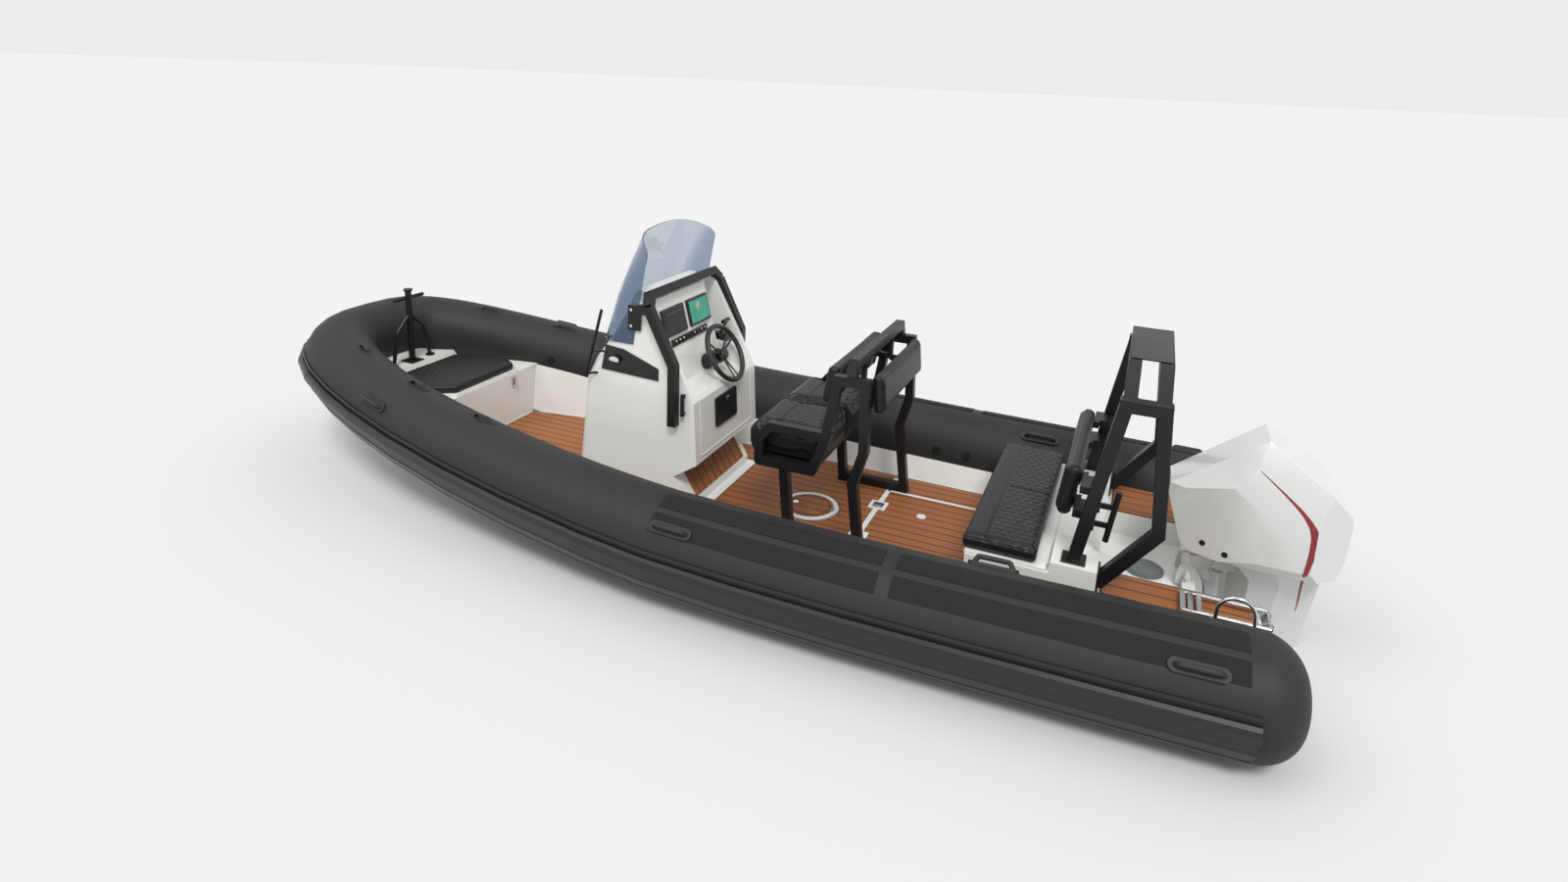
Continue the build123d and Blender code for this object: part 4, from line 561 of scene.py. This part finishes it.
chart, tree, shader = painted("chart_glass", Emission_Strength=0.2, Roughness=0.06)
chart_at = tree.nodes.new("ShaderNodeTexCoord")
depths = tree.nodes.new("ShaderNodeTexNoise")
depths.inputs["Scale"].default_value = 14
depths.inputs["Detail"].default_value = 3
tree.links.new(chart_at.outputs["Object"], depths.inputs["Vector"])
sea = blended(tree, math_node(tree, "MULTIPLY_ADD", depths.outputs["Fac"], 4.0, -1.6),
              (0.010, 0.21, 0.15), (0.03, 0.33, 0.24))
sea = blended(tree, math_node(tree, "GREATER_THAN", depths.outputs["Fac"], 0.60), sea,
              (0.60, 0.27, 0.06))
tree.links.new(sea, shader.inputs["Base Color"])
tree.links.new(sea, shader.inputs["Emission Color"])
dark_glass = grained("dark_glass", (0.005, 0.005, 0.008), 0.12, scale=60, bump=0.0,
                     Specular_IOR_Level=0.3)
red_trim = grained("red_trim", (0.21, 0.006, 0.009), 0.3, scale=200, bump=0.03, Coat_Weight=0.3)
softened("displays", black_moulding, 0.006, slot="display")
softened("switch_panel", black_moulding, 0.002, slot="black_plastic")
GAUGES_Y, CHART_Y, DISPLAY_Z = 0.175, -0.120, 1.196
for name, y, glass in (("left_display_glass", GAUGES_Y, dark_glass),
                       ("chart_display_glass", CHART_Y, chart)):
    bm = bmesh.new()
    block(bm, on_dash(y, DISPLAY_Z, 0.0185), (0.002, 0.222, 0.134), 0.0006, segments=1)
    piece(name, bm, glass, slot="display", flat=True)
bm = bmesh.new()
bmesh.ops.create_cube(bm, size=1, matrix=on_dash(GAUGES_Y, DISPLAY_Z + 0.046, 0.0197)
                      @ Matrix.Diagonal((0.0008, 0.17, 0.004, 1)))
piece("display_gauge_lines", bm, red_trim, slot="display", flat=True)


def on_rocker(i, z, off):
    """Frame on the i-th rocker switch, counted from starboard and pressed down at its foot."""
    return on_dash(-0.145 + 0.044 * i, z, off) @ Matrix.Rotation(radians(8), 4, "Y")


bm = bmesh.new()
for i in range(9):
    block(bm, on_rocker(i, 1.075, 0.0118), (0.006, 0.022, 0.028), 0.0015)
piece("rocker_switches", bm, black_moulding, slot="black_plastic", flat=True)
bm = bmesh.new()
for i in (0, 1, 3, 6, 7, 8):
    bmesh.ops.create_cube(bm, size=1, matrix=on_rocker(i, 1.082, 0.0152)
                          @ Matrix.Diagonal((0.0012, 0.013, 0.008, 1)))
piece("rocker_marks", bm, white_plastic, slot="black_plastic", flat=True)

# ------------------------------------------------------------------ wheel, pump and throttle
# A thick soft rim is moulded over a steel ring, on three pairs of spokes; behind it the hydraulic
# pump is bolted to the dash.  The throttle lever stands on the starboard shelf.
soft_rim = grained("soft_black_rim", (0.014, 0.014, 0.015), 0.5, scale=600, bump=0.3)
WHEEL_AT, WHEEL_LEAN = Vector((2.709, -0.075, 0.965)), radians(30)
shaft = Vector((-cos(WHEEL_LEAN), 0, sin(WHEEL_LEAN)))
wheel_place = Matrix.Translation(WHEEL_AT) @ Matrix((
    Vector((0, 1, 0)), shaft.cross(Vector((0, 1, 0))), shaft)).transposed().to_4x4()
RIM_R, RIM_THICK = 0.172, 0.0158
SPOKE = [(0.026, -0.022, 0.011), (0.060, -0.020, 0.0085), (0.120, -0.008, 0.007),
         (0.164, 0.0, 0.0075)]
bm = bmesh.new()
bmesh.ops.create_circle(bm, segments=20, radius=RIM_THICK,
                        matrix=Matrix.Translation((RIM_R, 0, 0)) @ Matrix.Rotation(pi / 2, 4, "X"))
bmesh.ops.spin(bm, geom=bm.verts[:] + bm.edges[:], cent=(0, 0, 0), axis=(0, 0, 1), dvec=(0, 0, 0),
               angle=2 * pi, steps=72, use_merge=True, use_duplicate=False)
bmesh.ops.remove_doubles(bm, verts=bm.verts, dist=0.00001)
bmesh.ops.recalc_face_normals(bm, faces=bm.faces)
for third in range(3):
    for split in (-9, 9):
        turn_by = Matrix.Rotation(radians(90 + 120 * third + split), 4, "Z")
        last = None
        for r, z, thick in SPOKE:
            made = bmesh.ops.create_circle(
                bm, segments=14, radius=1, cap_ends=last is None or r == SPOKE[-1][0],
                matrix=turn_by @ Matrix.Translation((r, 0, z)) @ Matrix.Rotation(pi / 2, 4, "Y")
                @ Matrix.Diagonal((thick * 0.55, thick, 1, 1)))
            edges = ring_edges(made)
            if last:
                bmesh.ops.bridge_loops(bm, edges=last + edges)
            last = edges
disc(bm, (0, 0, -0.038), 0.034, 0.042, bevel=0.007)
disc(bm, (0, 0, -0.070), 0.009, 0.040, bevel=0.001)
bmesh.ops.transform(bm, matrix=wheel_place, verts=bm.verts)
bmesh.ops.recalc_face_normals(bm, faces=bm.faces)
piece("wheel_rim_and_spokes", bm, soft_rim, body="wheel", smooth=45, replaces=["steering_wheel"],
      slot="black_plastic")
softened("helm_pump", black_moulding, 0.004, slot="black_plastic")
softened("throttle", black_moulding, 0.004, slot="black_plastic")

# ------------------------------------------------------------------ windscreen and console rail
# A wrap-round screen of bent blue-grey acrylic is bolted to two plates on the rail's arms.  Its
# colour turns darker down its sides as painted shade, for the darker look where the view passes
# through two panes at once.  The rail and all the frames are square steel tube, mitred, welded and
# coated with black powder.
smoked, tree, shader = painted("smoked_acrylic", Roughness=0.04, Transmission_Weight=0.94,
                               IOR=1.25)
# Painted shade: the sheet's colour darkens towards its sides, where the view passes through two
# panes.
painted_pane_shade = tree.nodes.new("ShaderNodeMapRange")
painted_pane_shade.interpolation_type = "SMOOTHSTEP"
painted_pane_shade.inputs["From Min"].default_value = 0.34
painted_pane_shade.inputs["From Max"].default_value = 0.415
tree.links.new(math_node(tree, "ABSOLUTE", places(tree)["Y"]), painted_pane_shade.inputs["Value"])
tree.links.new(blended(tree, painted_pane_shade.outputs["Result"], (0.60, 0.655, 0.72), (0.33, 0.40, 0.51)),
               shader.inputs["Base Color"])
SCREEN_FOOT, SCREEN_TOP, SCREEN_HALF = (3.292, 1.092), (3.078, 1.745), 0.4113
SCREEN_LOW, ROUND_FROM = SCREEN_FOOT[1], 1.612


def screen_aft(z):
    """Aft edge of the side panes: straight, then rounding over to the top."""
    if z < ROUND_FROM:
        return 3.057 - 0.090 * (z - SCREEN_LOW) / 0.520
    return 3.052 - 0.085 * max(0.0, 1 - ((z - ROUND_FROM) / 0.134) ** 2) ** 0.5


def screen_row(z):
    """Half of the sheet's line at one height, from its aft edge round to the middle."""
    rise = (z - SCREEN_LOW) / (SCREEN_TOP[1] - SCREEN_LOW)
    fore = SCREEN_FOOT[0] + (SCREEN_TOP[0] - SCREEN_FOOT[0]) * rise
    radius = 0.110 + 0.130 * max(0.0, (z - 1.330) / 0.415) ** 1.5
    line = [(screen_aft(z), SCREEN_HALF)]
    for i in range(25):
        a = pi / 2 * i / 24
        line.append((fore - radius + radius * sin(a), SCREEN_HALF - radius + radius * cos(a)))
    line = [p for p in line if p[0] >= screen_aft(z)]
    line.append((fore + 0.004 * rise, 0.0))
    steps = [0.0]
    for (x0, y0), (x1, y1) in zip(line, line[1:]):
        steps.append(steps[-1] + ((x1 - x0) ** 2 + (y1 - y0) ** 2) ** 0.5)
    return line, steps


def screen_point(share, z):
    """Point a share of the way along the half line at one height."""
    line, steps = screen_row(z)
    far = share * steps[-1]
    for i in range(1, len(steps)):
        if far <= steps[i] + 1e-9:
            t = (far - steps[i - 1]) / max(1e-9, steps[i] - steps[i - 1])
            return Vector((line[i - 1][0] + (line[i][0] - line[i - 1][0]) * t,
                           line[i - 1][1] + (line[i][1] - line[i - 1][1]) * t, z))


STEPS_ROUND, STEPS_UP = 35, 24
bm = bmesh.new()
port, starboard = [], []
for side, columns, count in ((1, port, STEPS_ROUND + 1), (-1, starboard, STEPS_ROUND)):
    for i in range(count):
        share = 1 - cos(pi / 2 * i / STEPS_ROUND)
        top = ROUND_FROM + 0.133 * (1 - (1 - share) ** 2) ** 0.5
        column = []
        for j in range(STEPS_UP + 1):
            spot = screen_point(share, SCREEN_LOW + (top - SCREEN_LOW) * j / STEPS_UP)
            column.append(bm.verts.new((spot.x, spot.y * side, spot.z)))
        columns.append(column)
columns = port + starboard[::-1]
for first, second in zip(columns, columns[1:]):
    for j in range(STEPS_UP):
        bm.faces.new((first[j], first[j + 1], second[j + 1], second[j]))
bmesh.ops.recalc_face_normals(bm, faces=bm.faces)
bmesh.ops.solidify(bm, geom=bm.faces[:], thickness=0.006)
bmesh.ops.recalc_face_normals(bm, faces=bm.faces)
piece("windscreen_sheet", bm, smoked, smooth=40, replaces=["windscreen"], slot="smoked_screen")
black_coat = grained("black_powder_coat", (0.0065, 0.0065, 0.007), 0.4, scale=900, bump=0.15,
                     Specular_IOR_Level=0.35)
softened("console_rail", black_coat, 0.006, slot="black_steel")
dress(black_coat, "front_rail")
softened("screen_brackets", black_coat, 0.0025, slot="black_steel")
bm = bmesh.new()
for y, way in ((0.4196, 1), (-0.4196, -1)):
    for z in (1.205, 1.300):
        disc(bm, (3.062, y, z) if way > 0 else (3.062, y - 0.005, z), 0.009, 0.005, axis="Y")
piece("screen_bolts", bm, chrome, slot="stainless")

# ------------------------------------------------------------------ cushions
# Foam cushions in black marine vinyl, sewn in hexagons over the middle and left plain at the front
# roll.  They swell between their seams and lie flat on the pans that carry them.
vinyl = grained("black_marine_vinyl", (0.009, 0.009, 0.0095), 0.42, scale=1100, bump=0.3,
                depth=0.0004, Specular_IOR_Level=0.3)
ROOT_3, HALF_ROOT_3 = 1.7320508, 0.8660254


def quilting(u, v, cell, puff, sink):
    """How far hexagon quilting lifts the skin; on the stitching it lies sink below."""
    best = None
    for shift in (0.0, 0.5):
        a = (u / cell - shift) - round(u / cell - shift)
        b = (v / cell - shift * ROOT_3) / ROOT_3
        b = (b - round(b)) * ROOT_3
        if best is None or a * a + b * b < best[0]:
            best = (a * a + b * b, abs(a), abs(b))
    inward = 1 - 2 * max(best[1], best[1] * 0.5 + best[2] * HALF_ROOT_3)
    return puff * (1 - exp(-5 * inward)) - sink


def pillow(points, low, high, place=None, axis="Y", round_off=0.02):
    """A closed form: an outline pushed through along one axis, with rounded edges."""
    bm = bmesh.new()
    order = {"Y": lambda a, b, c: (a, c, b), "Z": lambda a, b, c: (a, b, c)}[axis]
    verts = [bm.verts.new(order(a, b, low)) for a, b in points]
    face = bm.faces.new(verts)
    made = bmesh.ops.extrude_face_region(bm, geom=[face])
    move = (0, high - low, 0) if axis == "Y" else (0, 0, high - low)
    moved = [v for v in made["geom"] if isinstance(v, bmesh.types.BMVert)]
    bmesh.ops.translate(bm, vec=move, verts=moved)
    bmesh.ops.recalc_face_normals(bm, faces=bm.faces)
    bevelled(bm, bm.edges[:], round_off, 4, clamp_overlap=True)
    if place:
        bmesh.ops.transform(bm, matrix=place, verts=bm.verts)
    return bm


def joined(bm, part):
    """Adds one bmesh to another, and frees it."""
    extra = bpy.data.meshes.new("joined_part")
    part.to_mesh(extra)
    part.free()
    bm.from_mesh(extra)
    bpy.data.meshes.remove(extra)


def settled(soft):
    """Puts the outcome of an object's modifiers in place of its mesh."""
    made = bpy.data.meshes.new_from_object(
        soft.evaluated_get(bpy.context.evaluated_depsgraph_get()))
    soft.modifiers.clear()
    soft.data = made


CLOTH_PRESSURE, CLOTH_FRAMES = 4.0, 20


def stuffed(name, bm, voxel, cap, shape, body="boat", replaces=()):
    """Blows a pillow up like cloth, caps how far it swells, then lets shape() draw its seams in."""
    mesh = bpy.data.meshes.new(name)
    bm.to_mesh(mesh)
    bm.free()
    soft = shown(name, mesh)
    remesh = soft.modifiers.new("grid", "REMESH")
    remesh.mode = "VOXEL"
    remesh.voxel_size = voxel
    settled(soft)
    start = [v.co.copy() for v in soft.data.vertices]
    cloth = soft.modifiers.new("cloth", "CLOTH")
    cloth.settings.use_pressure = True
    cloth.settings.uniform_pressure_force = CLOTH_PRESSURE
    cloth.settings.effector_weights.gravity = 0
    cloth.settings.quality = 4
    cloth.point_cache.frame_start, cloth.point_cache.frame_end = 1, CLOTH_FRAMES
    for step in range(1, CLOTH_FRAMES + 1):
        bpy.context.scene.frame_set(step)
    settled(soft)
    bpy.context.scene.frame_set(1)
    mesh = soft.data
    for vertex, first in zip(mesh.vertices, start):
        moved = vertex.co - first
        if moved.length > cap:
            vertex.co = first + moved * (cap / moved.length)
    mesh.update()
    normals = [v.normal.copy() for v in mesh.vertices]
    for vertex, normal in zip(mesh.vertices, normals):
        vertex.co = shape(vertex.co.copy(), normal)
    mesh.materials.clear()
    mesh.materials.append(vinyl)
    mesh.shade_smooth()
    finer = soft.modifiers.new("finer", "SUBSURF")
    finer.levels = finer.render_levels = 1
    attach(soft, body)
    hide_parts(*replaces)
    return soft


def crease(distance, depth, width):
    """Depth of a seam's groove at some distance from the seam."""
    return depth * exp(-(distance / width) ** 2)


# The helm seat has two cushions side by side, each with a plain roll in front.
SEAT_FLOOR, SEAT_LIMIT = 0.5988, 0.4195


def seat_shape(co, normal):
    """Seams and quilting of the two seat cushions."""
    x, y, z = co
    across = abs(y)
    if normal.z > 0.35:
        co -= normal * crease(x - 2.150, 0.008, 0.006)
        if x < 2.142:
            co += normal * quilting(x, across - 0.21, 0.044, 0.0035, 0.002)
        co -= normal * crease(across - 0.030, 0.004, 0.005) + normal * crease(
            across - 0.392, 0.004, 0.005)
    if abs(normal.y) > 0.6:
        co -= normal * crease(z - 0.770, 0.004, 0.006) + normal * crease(z - 0.625, 0.003, 0.005)
    if normal.x > 0.5:
        co -= normal * crease(z - 0.640, 0.005, 0.007)
    co.z = max(co.z, SEAT_FLOOR)
    co.y = max(-SEAT_LIMIT, min(SEAT_LIMIT, co.y))
    co.y = max(co.y, 0.001) if y > 0 else min(co.y, -0.001)
    return co


seat_outline = [(2.318, 0.632), (2.320, 0.732), (2.284, 0.784), (1.886, 0.790), (1.880, 0.603),
                (2.292, 0.603)]
bm = pillow(seat_outline, 0.010, 0.409, round_off=0.022)
joined(bm, pillow(seat_outline, -0.409, -0.010, round_off=0.022))
stuffed("seat_cushions_sewn", bm, 0.0065, 0.009, seat_shape, replaces=["seat_cushions"])

# Two long pads on the crossbar make the seat's back: the fore one is sewn in hexagons between
# plain ends, the aft one is plain.
back_places = []
for x, z, thick, lean, front in ((1.868, 1.052, 0.066, -9, 1), (1.603, 1.042, 0.060, 6, -1)):
    back_places.append((Matrix.Translation((x, 0, z)) @ Matrix.Rotation(radians(lean), 4, "Y"),
                        thick / 2, front))


def back_shape(co, normal):
    """Seams and quilting of whichever back pad the point is on."""
    place, half, front = min(back_places, key=lambda p: abs(p[0].translation.x - co.x))
    inside = place.inverted()
    local = inside @ co
    out = inside.to_3x3() @ normal
    if out.x * front > 0.4:
        if front > 0 and abs(local.y) < 0.30:
            local.x += front * quilting(local.y, local.z, 0.046, 0.0035, 0.002)
            local.x -= crease(abs(local.y) - 0.30, 0.006, 0.006)
    if abs(out.z) > 0.5:
        local.z -= (1 if out.z > 0 else -1) * crease(local.x, 0.004, 0.005)
    if front > 0:
        local.x = max(local.x, -half - 0.0001)
    else:
        local.x = min(local.x, half + 0.0001)
    return place @ local


bm = bmesh.new()
for place, half, front in back_places:
    part = pillow([(-half, -0.106), (-half, 0.106), (half - 0.006, 0.104), (half - 0.006, -0.104)]
                  if front > 0 else
                  [(-half + 0.006, -0.104), (-half + 0.006, 0.104), (half, 0.106), (half, -0.106)],
                  -0.400, 0.400, place=place, round_off=0.024)
    joined(bm, part)
stuffed("seat_back_pads_sewn", bm, 0.0065, 0.008, back_shape, replaces=["seat_back_pads"])

# ------------------------------------------------------------------ stern bench cushion
# One long cushion lies on the bench lid: a plain roll along its front and two quilted fields.
BENCH_FLOOR = 0.4368


def bench_shape(co, normal):
    """Seams and quilting of the bench cushion."""
    x, y, z = co
    if normal.z > 0.35:
        co -= normal * crease(x - 0.962, 0.010, 0.006)
        if x < 0.955:
            co += normal * quilting(x, y, 0.048, 0.004, 0.0025)
            co -= normal * crease(y, 0.009, 0.006)
    if normal.x > 0.5 or abs(normal.y) > 0.5:
        co -= normal * crease(z - 0.500, 0.004, 0.005) + normal * crease(z - 0.452, 0.004, 0.005)
    co.z = min(max(co.z, BENCH_FLOOR), 0.532)
    return co


bench_outline = [(0.718, -0.628), (1.078, -0.628), (1.078, 0.628), (0.718, 0.628)]
stuffed("bench_cushion_sewn", pillow(bench_outline, 0.4400, 0.5120, axis="Z", round_off=0.022),
        0.0070, 0.008, bench_shape, body="bench", replaces=["bench_cushion"])

# ------------------------------------------------------------------ arch backrest
# A long plain pad leans on two brackets between the arch's fore legs, with a seam round its rim.
ARCH_PAD_AT = Matrix.Translation((0.631, 0, 0.755)) @ Matrix.Rotation(
    atan2(0.610 - 0.652, 0.892 - 0.618), 4, "Y")


def arch_pad_shape(co, normal):
    """Rim seam of the backrest, and its flat back."""
    inside = ARCH_PAD_AT.inverted()
    local = inside @ co
    out = inside.to_3x3() @ normal
    if out.x > 0.4:
        local.x -= crease(abs(local.z) - 0.113, 0.006, 0.006)
    local.x = max(local.x, -0.0381)
    return ARCH_PAD_AT @ local


backrest_outline = [(-0.038, -0.138), (-0.038, 0.138), (0.031, 0.136), (0.031, -0.136)]
stuffed("arch_backrest_sewn",
        pillow(backrest_outline, -0.442, 0.442, place=ARCH_PAD_AT, round_off=0.032),
        0.0070, 0.008, arch_pad_shape, replaces=["arch_pad"])

# ------------------------------------------------------------------ bow cushion
# A shaped cushion on the bow locker's lid, sewn all over in hexagons.
BOW_FLOOR = 0.4908


def bow_shape(co, normal):
    """Quilting of the bow cushion, and the seam round its side."""
    if normal.z > 0.35:
        co += normal * quilting(co.x, co.y, 0.050, 0.004, 0.0025)
    else:
        co -= normal * crease(co.z - 0.530, 0.003, 0.004)
    co.z = min(max(co.z, BOW_FLOOR), 0.553)
    return co


bow_outline = [(4.492, -0.284), (4.620, -0.368), (4.740, -0.372), (5.002, -0.228),
               (5.002, 0.228), (4.740, 0.372), (4.620, 0.368), (4.492, 0.284)]
stuffed("bow_cushion_sewn", pillow(bow_outline, 0.4935, 0.5400, axis="Z", round_off=0.016),
        0.0065, 0.006, bow_shape, body="bow_seat", replaces=["bow_cushion"])

# ------------------------------------------------------------------ seat frames and arch
# Square steel tube, mitred and welded, with the corners of the tube itself softly rounded.
for name, width in (("seat_frames", 0.006), ("seat_base", 0.003), ("seat_crossbar", 0.004),
                    ("arch", 0.007), ("arch_plate", 0.0015), ("arch_brackets", 0.003)):
    softened(name, black_coat, width, slot="black_steel")

# ------------------------------------------------------------------ bow and stern metalwork
# The mooring post is black steel on a foot plate.  Eye, latch, hoops and ladder are polished
# stainless rod and plate.
softened("bow_post", black_coat, 0.0015, slot="black_steel", angle=60)
polished_steel = grained("polished_stainless", (0.62, 0.63, 0.65), 0.16, scale=300, bump=0.02,
                         Metallic=1.0)
for name, width, body in (("bow_latch", 0.002, "boat"), ("bow_eye", 0.002, "boat"),
                          ("tow_hoops", 0.001, "boat"), ("ladder", 0.0015, "ladder"),
                          ("ladder_bracket", 0.001, "boat")):
    softened(name, polished_steel, width, body=body, slot="stainless", angle=50)

# ------------------------------------------------------------------ fittings on the tubes
# Moulded rubber handles and webbing loops are bonded on; the air valves are black screw caps
# let into the tubes' inner sides.
webbing = grained("black_webbing", (0.012, 0.012, 0.012), 0.6, scale=1500, bump=0.5)
softened("tube_handles", webbing, 0.003, slot="webbing", angle=55)
softened("bow_straps", webbing, 0.001, slot="webbing", angle=50)
softened("valves", black_moulding, 0.003, slot="black_plastic", angle=50)
grey_moulding = grained("grey_moulding", (0.12, 0.13, 0.135), 0.5, scale=500, bump=0.1)
softened("inspection_hatch", grey_moulding, 0.002, slot="grey_plastic", angle=50)

# ------------------------------------------------------------------ bench ledge lifting handles
# A flat black bar handle stands on each teak ledge beside the bench.
bm = bmesh.new()
for side in (1, -1):
    y = side * 0.695
    for x in (0.790, 0.930):
        slab(bm, (x, y, 0.3585), (0.020, 0.018, 0.030), bevel=0.003)
    slab(bm, (0.860, y, 0.3760), (0.176, 0.022, 0.012), bevel=0.004)
piece("ledge_handles", bm, black_moulding, slot="black_plastic", flat=True)

# ------------------------------------------------------------------ outboard motor
# A faceted two-part engine cover in white gloss paint sits on a cast leg of the same white, with
# red edging down its quarters and black rubber plugs low on its sides.
white_paint = grained("white_gloss_paint", (0.58, 0.585, 0.57), 0.2, scale=60, bump=0.02,
                      spread=0.02, Coat_Weight=0.6, Coat_Roughness=0.05)
leg_paint = grained("white_leg_paint", (0.56, 0.565, 0.55), 0.3, scale=90, bump=0.03,
                    spread=0.03, Coat_Weight=0.3, Coat_Roughness=0.1)
softened("outboard_cowl", white_paint, 0.009, body="outboard", slot="cowl_white", angle=24)


def engine_skin(name):
    """A CAD node's faces, to find the nearest point on."""
    mesh = nodes[name].data
    return BVHTree.FromPolygons([v.co for v in mesh.vertices],
                                [tuple(f.vertices) for f in mesh.polygons])


EDGING_STEPS, EDGING_OFF = 8, 0.0014


def edging(bm, skin, run):
    """A painted band laid on the engine's skin, both sides; run holds (point, half width).

    It follows a smooth curve through the points, in EDGING_STEPS steps from one to the next.
    """
    points = [Vector(p) for p, _ in run]
    for side in (1, -1):
        last = None
        for i in range(EDGING_STEPS * (len(run) - 1) + 1):
            at = min(i // EDGING_STEPS, len(run) - 2)
            t = i / EDGING_STEPS - at
            before, after = points[max(at - 1, 0)], points[min(at + 2, len(run) - 1)]
            first, second = points[at], points[at + 1]
            middle = 0.5 * (2 * first + (second - before) * t
                            + (2 * before - 5 * first + 4 * second - after) * t ** 2
                            + (3 * first - before - 3 * second + after) * t ** 3)
            half = run[at][1] * (1 - t) + run[at + 1][1] * t
            along = ((second - before) * (1 - t) + (after - first) * t).normalized()
            across = along.cross(Vector((0, 1, 0))).normalized()
            row = []
            for step in (-1, -0.5, 0, 0.5, 1):
                spot, out, _, _ = skin.find_nearest(middle + across * half * step)
                spot = spot + (out if out.y > 0 else -out) * EDGING_OFF
                row.append(bm.verts.new((spot.x, spot.y * side, spot.z)))
            if last:
                for j in range(4):
                    bm.faces.new((last[j], last[j + 1], row[j + 1], row[j]))
            last = row


cowl_skin = engine_skin("outboard_cowl")
bm = bmesh.new()
edging(bm, cowl_skin, (((-0.180, 0.215, 0.945), 0.001), ((-0.300, 0.245, 0.855), 0.0045),
                       ((-0.380, 0.262, 0.785), 0.009), ((-0.425, 0.268, 0.715), 0.016),
                       ((-0.436, 0.268, 0.640), 0.017), ((-0.430, 0.265, 0.560), 0.012),
                       ((-0.420, 0.262, 0.470), 0.008)))
edging(bm, engine_skin("outboard_leg"),
       (((-0.492, 0.180, 0.440), 0.008), ((-0.490, 0.160, 0.350), 0.007),
        ((-0.487, 0.140, 0.250), 0.004), ((-0.484, 0.130, 0.190), 0.001)))
bmesh.ops.recalc_face_normals(bm, faces=bm.faces)
piece("cowl_red_edging", bm, red_trim, body="outboard", smooth=180, slot="cowl_white")
bm = bmesh.new()
for x, z in ((0.035, 0.522), (-0.085, 0.502)):
    spot, out, _, _ = cowl_skin.find_nearest(Vector((x, 0.26, z)))
    for side in (1, -1):
        before = set(bm.verts)
        disc(bm, (0, 0, -0.002), 0.014, 0.005)
        place = Vector((out.x, out.y * side, out.z)).to_track_quat("Z", "Y").to_matrix().to_4x4()
        bmesh.ops.transform(bm, verts=[v for v in bm.verts if v not in before],
                            matrix=Matrix.Translation((spot.x, spot.y * side, spot.z)) @ place)
piece("cowl_plugs", bm, strake_rubber, body="outboard", slot="black_plastic")

softened("outboard_leg", leg_paint, 0.004, body="outboard", slot="leg_white", angle=14)
softened("swivel_bracket", leg_paint, 0.003, body="swivel", slot="leg_white")
softened("clamp_bracket", leg_paint, 0.003, slot="leg_white")
softened("propeller", polished_steel, 0.0012, body="propeller", slot="propeller", angle=50)
dress(black_moulding, "powerhead")
